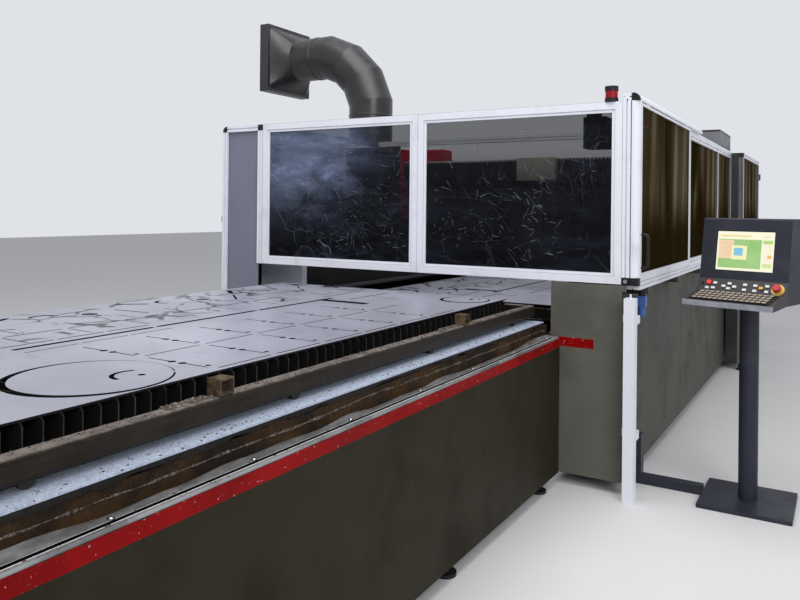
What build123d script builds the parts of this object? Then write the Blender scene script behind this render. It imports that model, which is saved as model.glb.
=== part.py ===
from build123d import *
import os
from math import cos, radians, sin, tan

# Machine frame while modelling, in millimetres: X = 0 on the centre line of the pallets, Y = 0 on the front
# face of the window frames, Z = 0 on the floor. +Y runs into the machine, +X is its operator side.

# Aluminium profiles, panes and sheet
PROFILE = 40.0
SLOT_MOUTH = 8.0
SLOT_DEPTH = 9.0
BEAD = 15.0
PANE = 5.0
SHEET_METAL = 3.0
SEAT = 0.3

# Sheets, slats and pallets, on two levels
SHEET_W = 1524.0
SHEET_L = 3048.0
SHEET_T = 6.0
SHEET_TOP_Z = 970.0
LEVEL_STEP = 150.0
KERF = 7.0
TAB = 14.0
PLATE_PITCH = 262.0
DISC_R = 216.0
SLAT_PITCH = 50.8
SLAT_T = 4.0
SLAT_H = 76.0
SLAT_OVERHANG = 13.0
SLAT_TO_BEAM = 93.0
BEAM_W = 50.0
BEAM_H = 60.0
BEAM_R = 12.0
BEAM_WALL = 5.0
PALLET_RIM = 16.0
PALLET_END_Y = -110.0
INNER_PALLET_Y = 890.0
ROLLER_R = 22.0
STOP_W = 45.0
STOP_LENGTH = 52.0
SLAT_COUNT = round(SHEET_L / SLAT_PITCH) - 1
SLAT_HALF_LENGTH = SHEET_W / 2 + SLAT_OVERHANG
PALLET_HALF_WIDTH = SLAT_HALF_LENGTH + SLAT_TO_BEAM + BEAM_W
PALLET_LENGTH = SHEET_L + 2 * PALLET_RIM

# Tracks that the pallets run on
TRACK_LEDGE = 3.0
TRACK_REACH = 60.0
TRACK_T = 6.0
TRACK_LIP = 14.0
TRACK_END_Y = -140.0
TRACK_IN = PALLET_HALF_WIDTH - BEAM_W - TRACK_LEDGE
TRACK_OUT = PALLET_HALF_WIDTH + TRACK_REACH

# Load station
STATION_ROOM = 255.0
STATION_END_Y = -15.0
STATION_MARGIN = 42.0
TOP_PROFILE_Z = 777.0
TOP_SLOT_MOUTH = 14.0
BAND_TOP_Z = 767.0
FRAME_TUBE = 80.0
FRAME_TOP_Z = 560.0
TRAY_INSET = 12.0
TRAY_TOP_Z = 843.0
TRAY_WALL = 6.0
FOOT_H = 60.0
FOOT_R = 45.0
GUARD_FOOT_R = 30.0
STATION_LENGTH = PALLET_LENGTH + STATION_ROOM
STATION_HALF_WIDTH = TRACK_OUT + STATION_MARGIN
TRAY_HALF_WIDTH = TRACK_OUT - TRAY_INSET

# Machine base
BASE_WIDTH = 367.0
BASE_TOP_Z = 1005.0
BASE_WALL = 12.0
BASE_ROOM = 180.0
COLUMN_W = 120.0
COLUMN_TOP_Z = 1443.0
COLUMN_START_Y = 260.0
COVER_LEFT_Y = 324.0
SLOT_MARGIN = 10.0
COVER_NOTCH_Z = 1034.0
COVER_FLARE = 20.0
SPLASH_INSET = 55.0
SPLASH_TOP_Z = 1582.0
SPLASH_BOX_W = 70.0
BASE_OUT = TRACK_OUT + BASE_WIDTH
BASE_LENGTH = INNER_PALLET_Y + PALLET_LENGTH + BASE_ROOM
SLOT_HALF_WIDTH = TRACK_OUT - SLOT_MARGIN
COVER_WIDE = BASE_OUT + COVER_FLARE

# Enclosure
GUARD_MARGIN = 79.0
WING_WIDTH = 319.0
HEAD_Z = 2007.0
SILL_Z = 1071.0
REAR_OVERLAP = 500.0
STEP_OUT = 78.0
LEFT_STEP_Y = 1460.0
REAR_LENGTH = 1380.0
REAR_TOP_Z = 1994.0
POST_GAP = 6.0
BEAD_STEP = 4.0
SIDE_DOOR_END_Y = 1400.0
SIDE_POST_FROM_END = 830.0
SIDE_DOOR_TOP_Z = 1997.0
SIDE_DOOR_DEPTH = 22.0
DOOR_STILE = 20.0
DOOR_HEAD = 12.0
SIDE_RAIL_TOP_Z = 1985.0
SIDE_SILL_TOP_Z = 1085.0
TOP_RAIL_END_Y = 1893.0
WING_MID_RAIL_Z = 1365.0
WING_CORNER_R = 34.0
GUARD_FOOT_Z = 60.0
HALF_WIDTH = BASE_OUT + GUARD_MARGIN
MAIN_LENGTH = BASE_LENGTH - REAR_OVERLAP

# Gantry
RAIL_COVER_TOP_Z = 1564.0
BRIDGE_Y = 1750.0
BRIDGE_DEPTH = 180.0
BRIDGE_Z = 1620.0
BRIDGE_H = 200.0
BRIDGE_INSET = 18.0
BELLOWS_PLATE = 30.0
BELLOWS_REACH = 72.0
BELLOWS_Z = 1657.0
BELLOWS_H = 188.0
BELLOWS_DEPTH = 90.0
BELLOWS_FOLD = 28.0
BELLOWS_RIB = 16.0
DRIVE_TOP_Z = 1955.0
DRIVE_PLATE_Z = 1365.0
CARRIAGE_X = 272.0
CARRIAGE_W = 302.0
HEAD_X = 237.0
BARREL_R = 35.0
RING_R = 42.0
NOZZLE_Z = 1040.0
BRIDGE_HALF = TRACK_OUT - BRIDGE_INSET
BELLOWS_END = BRIDGE_HALF - BELLOWS_PLATE
BELLOWS_END_RIGHT = TRACK_OUT + BELLOWS_REACH

# Exhaust duct
DUCT_R = 192.0
DUCT_INSET = 120.0
DUCT_FROM_STEP = 240.0
DUCT_LEVEL_Z = 2825.0
DUCT_BEND_R = 562.0
DUCT_WALL = 3.0
COLLAR_H = 34.0
PLENUM_H = 70.0
WALL_BOX = 610.0
WALL_BOX_REACH = 806.0
WALL_BOX_DEPTH = 98.0
TRANSITION_L = 150.0
TRANSITION_SIDE = 560.0
FLANGE_W = 40.0
FLANGE_HOLE_R = 5.5
DUCT_X = DUCT_INSET - HALF_WIDTH
DUCT_Y = LEFT_STEP_Y + DUCT_FROM_STEP
DUCT_BEND_Z = DUCT_LEVEL_Z - DUCT_BEND_R
WALL_BOX_X = -HALF_WIDTH - WALL_BOX_REACH

# Light curtain column, and the regulator with its air port
SENSOR_TOP_Z = 1012.0
REGULATOR_Y = 185.0
AIR_PORT_R = 6.0
AIR_PORT_DEPTH = 14.0

# Console
CONSOLE_REACH = 486.0
CONSOLE_Y = 248.0
CONSOLE_TURN = -16.4
CONSOLE_W = 430.0
COLUMN_R = 45.0
SWIVEL_Z = 1004.0
BUTTON_POCKET = 9.0
BUTTON_STEM = 4.5
BUTTON_GAP = 0.4
STOP_RING_R = 30.0
SCREEN_W = 274.0
SCREEN_H = 194.0
SCREEN_PLACE = (0.0, 0.534)
KEY_W = 18.0
KEY_H = 12.0
CONSOLE_X = HALF_WIDTH + CONSOLE_REACH

NODES = {}


def block(x, y, z):
    """Solid between three pairs of limits."""
    size = Box(x[1] - x[0], y[1] - y[0], z[1] - z[0])
    return Pos((x[0] + x[1]) / 2, (y[0] + y[1]) / 2, (z[0] + z[1]) / 2) * size


def pair(x, y, z):
    """A block and its mirror image across the centre line."""
    return [block(x, y, z), block((-x[1], -x[0]), y, z)]


def mirrored(solid):
    """The solid and its mirror image across the centre line."""
    return [solid, mirror(solid, Plane.YZ)]


def add(name, *pieces):
    """Keep the separate solids of one named node."""
    solids = []
    for piece in pieces:
        solids += piece if isinstance(piece, list) else [piece]
    NODES[name] = solids


def slot_section(width=PROFILE, height=PROFILE, mouth=SLOT_MOUTH):
    """Section of the aluminium profile: a bar with a slot mouth in the middle of each side."""
    section = Rectangle(width, height)
    for side in (-1, 1):
        section -= Pos(side * (width - SLOT_DEPTH) / 2, 0) * Rectangle(SLOT_DEPTH, mouth)
        section -= Pos(0, side * (height - SLOT_DEPTH) / 2) * Rectangle(mouth, SLOT_DEPTH)
    return section


def profile_x(x, y0, z0):
    """Profile along X whose lower front corner is at y0, z0."""
    plane = Plane((x[0], y0 + PROFILE / 2, z0 + PROFILE / 2), x_dir=(0, 1, 0), z_dir=(1, 0, 0))
    return extrude(plane * slot_section(), x[1] - x[0])


def profile_y(x0, y, z0, mouth=SLOT_MOUTH):
    """Profile along Y whose lower left corner is at x0, z0."""
    plane = Plane((x0 + PROFILE / 2, y[0], z0 + PROFILE / 2), x_dir=(1, 0, 0), z_dir=(0, 1, 0))
    return extrude(plane * slot_section(mouth=mouth), y[1] - y[0])


def profile_z(x0, y0, z):
    """Upright profile whose front left corner is at x0, y0."""
    plane = Plane((x0 + PROFILE / 2, y0 + PROFILE / 2, z[0]))
    return extrude(plane * slot_section(), z[1] - z[0])


def round_section():
    """Section of the corner profile: a square whose outer corner is a quarter round."""
    half = PROFILE / 2
    outline = Polyline((half - 0.9 * PROFILE, half), (-half, half), (-half, -half), (half, -half),
                       (half, half - 0.9 * PROFILE))
    return make_face(outline + RadiusArc(outline @ 1, outline @ 0, -0.9 * PROFILE))


def tube_y(x, y, z, wall, radius):
    """Rectangular steel tube along Y with rounded corners, open at both ends."""
    width, height = x[1] - x[0], z[1] - z[0]
    plane = Plane((sum(x) / 2, y[0], sum(z) / 2), x_dir=(1, 0, 0), z_dir=(0, 1, 0))
    section = RectangleRounded(width, height, radius) - Rectangle(width - 2 * wall, height - 2 * wall)
    return extrude(plane * section, y[1] - y[0])


# Load station: frame, feet, tray, tracks, top profiles and skirts
station_y = (STATION_END_Y - STATION_LENGTH, STATION_END_Y)
station_in_y = (station_y[0] + SHEET_METAL, station_y[1])
leg_count = 4
leg_pitch = (STATION_LENGTH - 2 * FRAME_TUBE - 100) / (leg_count - 1)
leg_y = [station_y[0] + 50 + i * leg_pitch for i in range(leg_count)]
frame_x = (TRAY_HALF_WIDTH - 36, TRAY_HALF_WIDTH + 44)
tray_z = (FRAME_TOP_Z, TRAY_TOP_Z)
upper_track_z = SHEET_TOP_Z - SHEET_T - SLAT_H - 20
lower_track_z = upper_track_z - LEVEL_STEP


def station_frame():
    """Tubes on legs, bolted together, with brackets for the top profiles and ties to the machine base."""
    z = (FRAME_TOP_Z - FRAME_TUBE, FRAME_TOP_Z)
    y_all = (station_in_y[0] + SHEET_METAL, station_in_y[1] - 2 * SHEET_METAL)
    pieces = pair(frame_x, y_all, z)
    bracket_x = (STATION_HALF_WIDTH - PROFILE + 5, STATION_HALF_WIDTH - 5)
    for y in leg_y:
        leg = (y, y + FRAME_TUBE)
        pieces.append(block((-frame_x[0], frame_x[0]), leg, z))
        pieces += pair(frame_x, leg, (FOOT_H, z[0]))
        pieces += pair(bracket_x, leg, (z[1], TOP_PROFILE_Z - PROFILE))
    tie_z = (z[0] + 10, z[1] - 10)
    tie = block((SLOT_HALF_WIDTH - 28, SLOT_HALF_WIDTH - 2), (y_all[1], 480), tie_z)
    tie += block((SLOT_HALF_WIDTH - 2, TRACK_OUT + SEAT), (400, 480), tie_z)
    return pieces + mirrored(tie)


def skirt_side():
    """Folded cover of the station's side, with a return at each end and at the foot."""
    x = (STATION_HALF_WIDTH, STATION_HALF_WIDTH + SHEET_METAL)
    inner = (frame_x[1] + 1, STATION_HALF_WIDTH)
    z = (FOOT_H, BAND_TOP_Z)
    under = (FOOT_H, TOP_PROFILE_Z - PROFILE - 5)
    return (block(x, station_y, z)
            + block(inner, (station_y[1] - SHEET_METAL, station_y[1]), under)
            + block(inner, (station_y[0] + 2 * SHEET_METAL, station_y[1]), (z[0], z[0] + SHEET_METAL)))


def tray():
    """Dross tray under the pallets: a folded trough, open at both ends, with tabs under the upper tracks."""
    half = TRAY_HALF_WIDTH
    y = (station_y[0] + 50, station_y[1] - 45)
    trough = block((-half, half), y, (tray_z[0], tray_z[1]))
    trough -= block((-half + TRAY_WALL, half - TRAY_WALL), (y[0] - 1, y[1] + 1),
                    (tray_z[0] + TRAY_WALL, tray_z[1] + 1))
    tab_z = (tray_z[1], upper_track_z - TRACK_T - SEAT)
    for leg in leg_y:
        for tab in pair((half - TRAY_WALL, half), (leg, leg + FRAME_TUBE), tab_z):
            trough += tab
    return trough


def track(x, y, top):
    """Running strip of galvanised plate with its inner edge folded down."""
    return (block(x, y, (top - TRACK_T, top))
            + block((x[0], x[0] + TRACK_T), y, (top - TRACK_LIP, top - TRACK_T)))


def foot(x, y, radius=FOOT_R):
    """Levelling foot: a pad and its screw."""
    pad = Pos(x, y, 7) * Cylinder(radius, 14)
    return pad + Pos(x, y, (14 + FOOT_H) / 2) * Cylinder(14, FOOT_H - 14)


add("station_frame", station_frame())
add("station_skirts", mirrored(skirt_side()),
    block((-STATION_HALF_WIDTH - SHEET_METAL, STATION_HALF_WIDTH + SHEET_METAL),
          (station_y[0] - SHEET_METAL, station_y[0]), (FOOT_H, BAND_TOP_Z)))
add("station_top_profiles",
    mirrored(profile_y(STATION_HALF_WIDTH - PROFILE, station_in_y, TOP_PROFILE_Z - PROFILE,
                       TOP_SLOT_MOUTH)))
add("dross_tray", tray())

track_y = (station_y[0] + 60, TRACK_END_Y)
inner_lower = (TRACK_IN, TRAY_HALF_WIDTH - TRAY_WALL - SEAT)
machine_track_y = (COVER_LEFT_Y + 56, BASE_LENGTH - 120)
add("pallet_tracks", mirrored(track((TRACK_IN, TRACK_OUT), track_y, upper_track_z)),
    mirrored(track(inner_lower, track_y, lower_track_z)),
    mirrored(track((TRACK_IN, TRACK_OUT), machine_track_y, upper_track_z)),
    mirrored(track((TRACK_IN, TRACK_OUT), machine_track_y, lower_track_z)))

# Pallets


def pallet_frame(y, top):
    """Welded tube frame with shelves for the slats, cross bars, roller housings and sheet stops."""
    beam_z = (top - SHEET_T - 79, top - SHEET_T - 79 + BEAM_H)
    half = PALLET_HALF_WIDTH
    inside = half - BEAM_W
    shelf_z = (top - SHEET_T - SLAT_H - 6, top - SHEET_T - SLAT_H)
    frame = None
    for x in ((inside, half), (-half, -inside)):
        beam = tube_y(x, y, beam_z, BEAM_WALL, BEAM_R)
        frame = beam if frame is None else frame + beam
    for end in (y[0], y[1] - BEAM_W):
        tube = block((-inside, inside), (end, end + BEAM_W), beam_z)
        frame += tube
    for shelf in pair((SLAT_HALF_LENGTH - 75, inside), (y[0] + BEAM_W, y[1] - BEAM_W), shelf_z):
        frame += shelf
    bar_count = 3
    for i in range(bar_count):
        middle = y[0] + (i + 1) * (y[1] - y[0]) / (bar_count + 1)
        frame += block((-SLAT_HALF_LENGTH + 60, SLAT_HALF_LENGTH - 60), (middle - 15, middle + 15),
                       (shelf_z[0] - 36, shelf_z[1]))
        for x in ((SLAT_HALF_LENGTH - 75, inside - 1), (-inside + 1, -SLAT_HALF_LENGTH + 75)):
            frame += block(x, (middle - 15, middle + 15), (shelf_z[0] - 8, shelf_z[0]))
    stop_x = (half - BEAM_W + 1, half - 1)
    for i in range(2):
        low = y[1] - 810 - i * SHEET_L * 0.48 - STOP_LENGTH / 2
        high = low + STOP_LENGTH
        frame += block(stop_x, (low, high), (beam_z[1], beam_z[1] + STOP_W))
        frame -= block((stop_x[0] - 1, stop_x[1] + 1), (low + BEAM_WALL, high - BEAM_WALL),
                       (beam_z[1] + BEAM_WALL, beam_z[1] + STOP_W - BEAM_WALL))
    for roller_y in roller_places(y):
        for side in (-1, 1):
            x = side * (half - BEAM_W / 2)
            frame -= block((x - BEAM_W / 2 + BEAM_WALL, x + BEAM_W / 2 - BEAM_WALL),
                           (roller_y - ROLLER_R - 6, roller_y + ROLLER_R + 6), (beam_z[0] - 1, beam_z[0] + 8))
    return frame


def roller_places(y):
    """Where the rollers stand along the pallet."""
    count = 4
    pitch = (y[1] - y[0] - 500) / (count - 1)
    return [y[0] + 250 + i * pitch for i in range(count)]


def pallet_rollers(y, track_top):
    """Rollers in the side beams, each on its own axle pin."""
    rollers = []
    for roller_y in roller_places(y):
        for side in (-1, 1):
            x = side * (PALLET_HALF_WIDTH - BEAM_W / 2)
            wheel = Pos(x, roller_y, track_top + ROLLER_R + SEAT) * Rot(0, 90, 0) * Cylinder(ROLLER_R, 26)
            place = Pos(x, roller_y, track_top + ROLLER_R + SEAT) * Rot(0, 90, 0)
            pin = place * Cylinder(6, BEAM_W - 2 * BEAM_WALL)
            rollers.append(wheel + pin)
    return rollers


def pallet_slats(y, top):
    """Upright slats across the pallet, each with its corners cut back at the top."""
    z = (top - SHEET_T - SLAT_H, top - SHEET_T)
    half = SLAT_HALF_LENGTH
    outline = Polyline((-half, z[0]), (half, z[0]), (half, z[1] - 8), (half - 8, z[1]), (-half + 8, z[1]),
                       (-half, z[1] - 8), close=True)
    start = (y[0] + y[1]) / 2 - (SLAT_COUNT - 1) / 2 * SLAT_PITCH - SLAT_T / 2
    face = make_face(Plane.XZ * outline)
    slat = extrude(face, -SLAT_T)
    return [Pos(0, start + i * SLAT_PITCH, 0) * slat for i in range(SLAT_COUNT)]


def cut_line(x, y, length, turn=0, width=KERF):
    """Straight cut through the sheet, with round ends."""
    return Pos(x, y) * Rotation(0, 0, turn) * SlotOverall(length, width)


def plate_cuts(x, y, width):
    """Cuts round one plate of a row: its far end with two notches at the middle, and its side."""
    cuts = cut_line(x, y + PLATE_PITCH / 2, PLATE_PITCH - 2 * TAB, 90)
    middle = x - width / 2
    for side in (-1, 1):
        cuts += Pos(middle + side * 22, y) * Circle(13)
        cuts += cut_line(middle + side * (22 + width / 6), y, width / 3)
    return cuts + Pos(x - 48, y + 20) * Circle(9)


def disc_cuts(radius):
    """A disc that has slid to one side of its hole, held by one tab, with an arc slot and a bore."""
    hole = Pos(0, -12) * Circle(radius + 14) - Circle(radius)
    hole -= Rotation(0, 0, 50) * Pos(radius, 0) * Rectangle(60, TAB)
    slot = Pos(0.4 * radius, 0.35 * radius) * SlotArc(CenterArc((0, 0), 0.3 * radius, 150, 120), 14)
    return hole + slot + Pos(0.45 * radius, 0.4 * radius) * Circle(11)


def scrap_cuts(count):
    """Openings left by parts already taken out: slots, arcs and round holes in turn."""
    cuts = None
    pitch = (SHEET_L - 700) / count
    for i in range(count):
        x = -SHEET_W / 2 + 110 + 65 * (i % 4)
        y = (i + 0.5 - count / 2) * pitch
        kinds = (cut_line(0, 0, 150, 20 + 25 * i, 26),
                 SlotArc(CenterArc((0, 0), 60, 20 * i, 130), 18),
                 Circle(34) - Rectangle(TAB / 2, 80) + Pos(60, 0) * Circle(12),
                 cut_line(0, 0, 210, 90 - 12 * i, 12))
        cut = Pos(x, y) * kinds[i % 4]
        cuts = cut if cuts is None else cuts + cut
    return cuts


def cut_sheet(y, top, turn):
    """Steel sheet left on the slats, cut through along the outlines of the parts nested in it."""
    sheet = Rectangle(SHEET_W, SHEET_L)
    edge = SHEET_W / 2 - 27
    row_w = (edge - 100) / 2
    plates = int((SHEET_L - 1400) // PLATE_PITCH)
    start = -SHEET_L / 2 + 820
    sheet -= Pos(edge - DISC_R + 8, start - 150) * disc_cuts(DISC_R)
    sheet -= Pos(edge - 0.55 * DISC_R - 20, SHEET_L / 2 - 150) * disc_cuts(0.55 * DISC_R)
    for i in range(plates):
        for x in (edge, edge - row_w):
            sheet -= plate_cuts(x, start + 110 + i * PLATE_PITCH, row_w)
    for x, width, span in ((-75, 10, 0.3), (-12, 24, 0.9), (60, KERF, 0.3)):
        length = span * (SHEET_L - 1100) / 3
        for i in range(3):
            sheet -= cut_line(x, start - 60 + (i + 0.5) * (length + TAB), length, 90, width)
    for i in range(plates):
        place = start + 60 + i * PLATE_PITCH
        sheet -= cut_line(-175, place, 150)
        sheet -= cut_line(-265, place + PLATE_PITCH / 2, PLATE_PITCH - 2 * TAB, 90, 10)
        sheet -= cut_line(-350, place + 90, 120)
    end = SHEET_L / 2 - 110
    sheet -= Pos(120, end - 490) * RectangleRounded(300, 56, 10)
    for x in (95, -80):
        sheet -= cut_line(x, end - 200, 380, 90, 10)
    for place in (end - 20, end - 280):
        sheet -= cut_line(-180, place, 150, 0, 12)
        sheet -= cut_line(200, place + 60, 150, 0, 9)
    sheet -= scrap_cuts(14)
    return extrude(Pos(0, (y[0] + y[1]) / 2, top - SHEET_T) * Rotation(0, 0, turn) * sheet, SHEET_T)


upper_y = (PALLET_END_Y - PALLET_LENGTH, PALLET_END_Y)
lower_y = (INNER_PALLET_Y, INNER_PALLET_Y + PALLET_LENGTH)
lower_top = SHEET_TOP_Z - LEVEL_STEP
add("upper_pallet_frame", pallet_frame(upper_y, SHEET_TOP_Z))
add("upper_pallet_rollers", pallet_rollers(upper_y, upper_track_z))
add("upper_pallet_slats", pallet_slats(upper_y, SHEET_TOP_Z))
add("upper_cut_sheet", cut_sheet(upper_y, SHEET_TOP_Z, 0))
add("lower_pallet_frame", pallet_frame(lower_y, lower_top))
add("lower_pallet_rollers", pallet_rollers(lower_y, lower_track_z))
add("lower_pallet_slats", pallet_slats(lower_y, lower_top))
add("lower_cut_sheet", cut_sheet(lower_y, lower_top, 180))

# Machine base, its covers and the rails of the gantry


def base_side(start):
    """One side of the base: a box beam, open at its ends, and a hollow column under the gantry rail."""
    inner = TRACK_OUT + SEAT
    column = (inner, inner + COLUMN_W)
    wall = BASE_WALL
    side = block((inner, BASE_OUT), (start, BASE_LENGTH), (FOOT_H, BASE_TOP_Z))
    side -= block((inner + wall, BASE_OUT - wall), (start - 1, BASE_LENGTH + 1),
                  (FOOT_H + wall, BASE_TOP_Z - wall))
    column_y = (max(start, COLUMN_START_Y), BASE_LENGTH)
    side += block(column, column_y, (BASE_TOP_Z, COLUMN_TOP_Z))
    return side - block((column[0] + wall, column[1] - wall), (column_y[0] - 1, column_y[1] + 1),
                        (BASE_TOP_Z + wall, COLUMN_TOP_Z - wall))


sill_x = (HALF_WIDTH - 2 * PROFILE, HALF_WIDTH)
sill_z = (SIDE_SILL_TOP_Z - PROFILE, SIDE_SILL_TOP_Z)
outrigger_y = [240 + i * (MAIN_LENGTH - 440) / 4 for i in range(5)]


def machine_base():
    """Both base sides, the cross tubes between them and the outriggers under the enclosure's sill."""
    inner = TRACK_OUT + SEAT
    base = base_side(SHEET_METAL) + mirror(base_side(COVER_LEFT_Y + SHEET_METAL), Plane.YZ)
    for i in range(4):
        y = COVER_LEFT_Y + 200 + i * (BASE_LENGTH - COVER_LEFT_Y - 500) / 3
        base += block((-inner, inner), (y, y + 100), (FOOT_H + 100, FOOT_H + 200))
    for y in outrigger_y:
        base += block((BASE_OUT - 60, sill_x[1] - 4), (y, y + 60), (BASE_TOP_Z, sill_z[0]))
    return base


def base_cover(inner, plane_y):
    """Folded cover on the front end of a base side, notched below its wide head."""
    z = (FOOT_H, SILL_Z - 5)
    face = (block((inner, BASE_OUT - 2), (plane_y, plane_y + SHEET_METAL), z)
            + block((BASE_OUT - 2, COVER_WIDE), (plane_y, plane_y + SHEET_METAL), (COVER_NOTCH_Z, z[1])))
    return face + block((inner, inner + SHEET_METAL), (plane_y + SHEET_METAL, plane_y + 50), z)


add("machine_base", machine_base())


def splash_wall():
    """Wall along the far side of the cutting area, headed by the box of the outer way cover."""
    x = SPLASH_INSET - BASE_OUT
    y = (COVER_LEFT_Y + SHEET_METAL, MAIN_LENGTH - 2 * PROFILE)
    return (block((x - SHEET_METAL, x), y, (BASE_TOP_Z, COLUMN_TOP_Z))
            + block((x - SHEET_METAL, x + SPLASH_BOX_W), y, (COLUMN_TOP_Z, SPLASH_TOP_Z)))


left_cover = mirror(base_cover(SLOT_HALF_WIDTH, COVER_LEFT_Y), Plane.YZ)
add("base_covers", base_cover(SLOT_HALF_WIDTH, 0), left_cover, splash_wall())

foot_x = (frame_x[0] + frame_x[1]) / 2
base_foot_x = (TRACK_OUT + BASE_OUT) / 2
feet = []
for y in leg_y:
    feet += [foot(foot_x, y + FRAME_TUBE / 2), foot(-foot_x, y + FRAME_TUBE / 2)]
for y in (600.0, 2200.0, BASE_LENGTH - 200):
    feet += [foot(base_foot_x, y), foot(-base_foot_x, y)]
guard_x = (-HALF_WIDTH + PROFILE / 2, -HALF_WIDTH - STEP_OUT + PROFILE / 2)
guard_feet = [(guard_x[0], PROFILE / 2), (guard_x[0], LEFT_STEP_Y - PROFILE / 2),
              (guard_x[1], LEFT_STEP_Y + PROFILE / 2)]
for y in (MAIN_LENGTH + PROFILE / 2, MAIN_LENGTH + REAR_LENGTH - PROFILE / 2):
    guard_feet += [(guard_x[1], y), (-guard_x[1], y)]
feet += [foot(x, y, GUARD_FOOT_R) for x, y in guard_feet]
add("levelling_feet", feet)

rail_y = (COVER_LEFT_Y + 60, BASE_LENGTH - 60)
rail_x = (TRACK_OUT + 42, TRACK_OUT + 70)
add("gantry_rails", pair(rail_x, rail_y, (COLUMN_TOP_Z, RAIL_COVER_TOP_Z - 24)),
    pair((TRACK_OUT + SEAT, TRACK_OUT + 12), rail_y, (COLUMN_TOP_Z, RAIL_COVER_TOP_Z)))

# Gantry: bridge, drive housing, bellows, carriage and cutting head
bridge_y = (BRIDGE_Y, BRIDGE_Y + BRIDGE_DEPTH)
bellows_y = (BRIDGE_Y - 110, BRIDGE_Y - 20)
carriage_x = (CARRIAGE_X - CARRIAGE_W / 2, CARRIAGE_X + CARRIAGE_W / 2)
slide_y = (BRIDGE_Y - 75, BRIDGE_Y - 45 - SEAT)
head_y = BRIDGE_Y - 140
HEAD_BOX_Z = (1187.0, 1279.0)
HEAD_FOOT_Z = 1070.0


def bridge():
    """Box beam with end trucks on the side rails, end plates and the two slide rails of the carriage."""
    z = (BRIDGE_Z, BRIDGE_Z + BRIDGE_H)
    rail_top = RAIL_COVER_TOP_Z - 24
    beam = block((-BRIDGE_HALF, BELLOWS_END_RIGHT + 30), bridge_y, z)
    for truck in pair((TRACK_OUT - 18, TRACK_OUT + 110), (bridge_y[0] - 120, bridge_y[1] + 120),
                      (RAIL_COVER_TOP_Z + 4, BELLOWS_Z - 7)):
        beam += truck
    for shoe_y in (bridge_y[0] - 100, bridge_y[1] + 20):
        for shoe in pair((rail_x[0] - 8, rail_x[1] + 8), (shoe_y, shoe_y + 80),
                         (rail_top + SEAT, RAIL_COVER_TOP_Z + 4)):
            beam += shoe
    for rail_z in (z[0] + 60, z[1] - 60):
        beam += block((-BELLOWS_END, BELLOWS_END_RIGHT), (bridge_y[0] - 15, bridge_y[0]),
                      (rail_z, rail_z + 20))
    return beam + block((BELLOWS_END_RIGHT, BELLOWS_END_RIGHT + 30), (bellows_y[0], bridge_y[0]),
                        (BELLOWS_Z - 10, BELLOWS_Z + BELLOWS_H + 3))


def drive_housing():
    """Drive housing on the left end of the bridge, with the plate that the bellows end on."""
    top = BRIDGE_Z + BRIDGE_H
    housing = block((-BRIDGE_HALF, -BRIDGE_HALF + 350), (bridge_y[0] + 10, bridge_y[1] - 10),
                    (top, DRIVE_TOP_Z))
    housing = fillet(housing.edges().group_by(Axis.Z)[-1], 10)
    plate_x = (-BRIDGE_HALF, -BELLOWS_END)
    plate = block(plate_x, (bellows_y[0], bridge_y[0] - SEAT), (DRIVE_PLATE_Z, DRIVE_TOP_Z))
    web = block(plate_x, (bridge_y[0] - SEAT, bridge_y[0] + 20), (top, DRIVE_TOP_Z - 20))
    return housing + plate + web


def bellows(x):
    """Way cover: rectangular folds along X, wider at each ridge than in each valley."""
    count = max(2, round((x[1] - x[0]) / BELLOWS_FOLD))
    step = (x[1] - x[0]) / (2 * count)
    middle = ((bellows_y[0] + bellows_y[1]) / 2, BELLOWS_Z + BELLOWS_H / 2)
    sections = []
    for i in range(2 * count + 1):
        drop = 0 if i % 2 else BELLOWS_RIB
        plane = Plane((x[0] + i * step, *middle), x_dir=(0, 1, 0), z_dir=(1, 0, 0))
        sections.append(plane * Rectangle(BELLOWS_DEPTH - 2 * drop, BELLOWS_H - 2 * drop))
    return loft(sections, ruled=True)


def cutting_head():
    """Lens barrel with its clamp ring and tapered foot."""
    ring_z = (HEAD_BOX_Z[1] + SEAT, HEAD_BOX_Z[1] + 26)
    top = HEAD_BOX_Z[1] + 60
    half = Polyline((0, HEAD_FOOT_Z), (16, HEAD_FOOT_Z), (BARREL_R, HEAD_FOOT_Z + 40), (BARREL_R, ring_z[0]),
                    (RING_R, ring_z[0]), (RING_R, ring_z[1]), (BARREL_R, ring_z[1]), (BARREL_R, top),
                    (0, top), close=True)
    return Pos(HEAD_X, head_y, 0) * revolve(make_face(Plane.XZ * half), Axis.Z)


def nozzle():
    """Copper nozzle screwed into the head."""
    tip = Pos(HEAD_X, head_y, NOZZLE_Z + 12) * Cone(4, 14, 24)
    return tip + Pos(HEAD_X, head_y, NOZZLE_Z + 27) * Cylinder(14, 6)


def carriage():
    """Plate that slides along the bridge, with a handle and two guide rods beside the head."""
    x = (carriage_x[0] + 40, carriage_x[1] - 40)
    y = (BRIDGE_Y - 45, BRIDGE_Y - 15 - SEAT)
    plate = block(x, y, (1420, 1850))
    plate += block((x[1] - 63, x[1] - 3), (y[0] - 35, y[0]), (1519, 1529))
    for leg in (x[1] - 63, x[1] - 13):
        plate += block((leg, leg + 10), (y[0] - 35, y[0] - 25), (1488, 1529))
    rod_x = (x[1] + 17, x[1] + 35)
    rod_y = (y[0] - 95, y[0] - 70)
    plate += block((x[1] - 10, rod_x[1] + 9), rod_y, (1600, 1640))
    plate += block((rod_x[0] - 9, rod_x[1] + 9), rod_y, (1150, 1164))
    plate += block((x[1] - 10, x[1]), (rod_y[0], y[0]), (1600, 1640))
    for rod in rod_x:
        plate += Pos(rod, sum(rod_y) / 2, 1390) * Cylinder(5, 480)
    return plate


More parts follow.
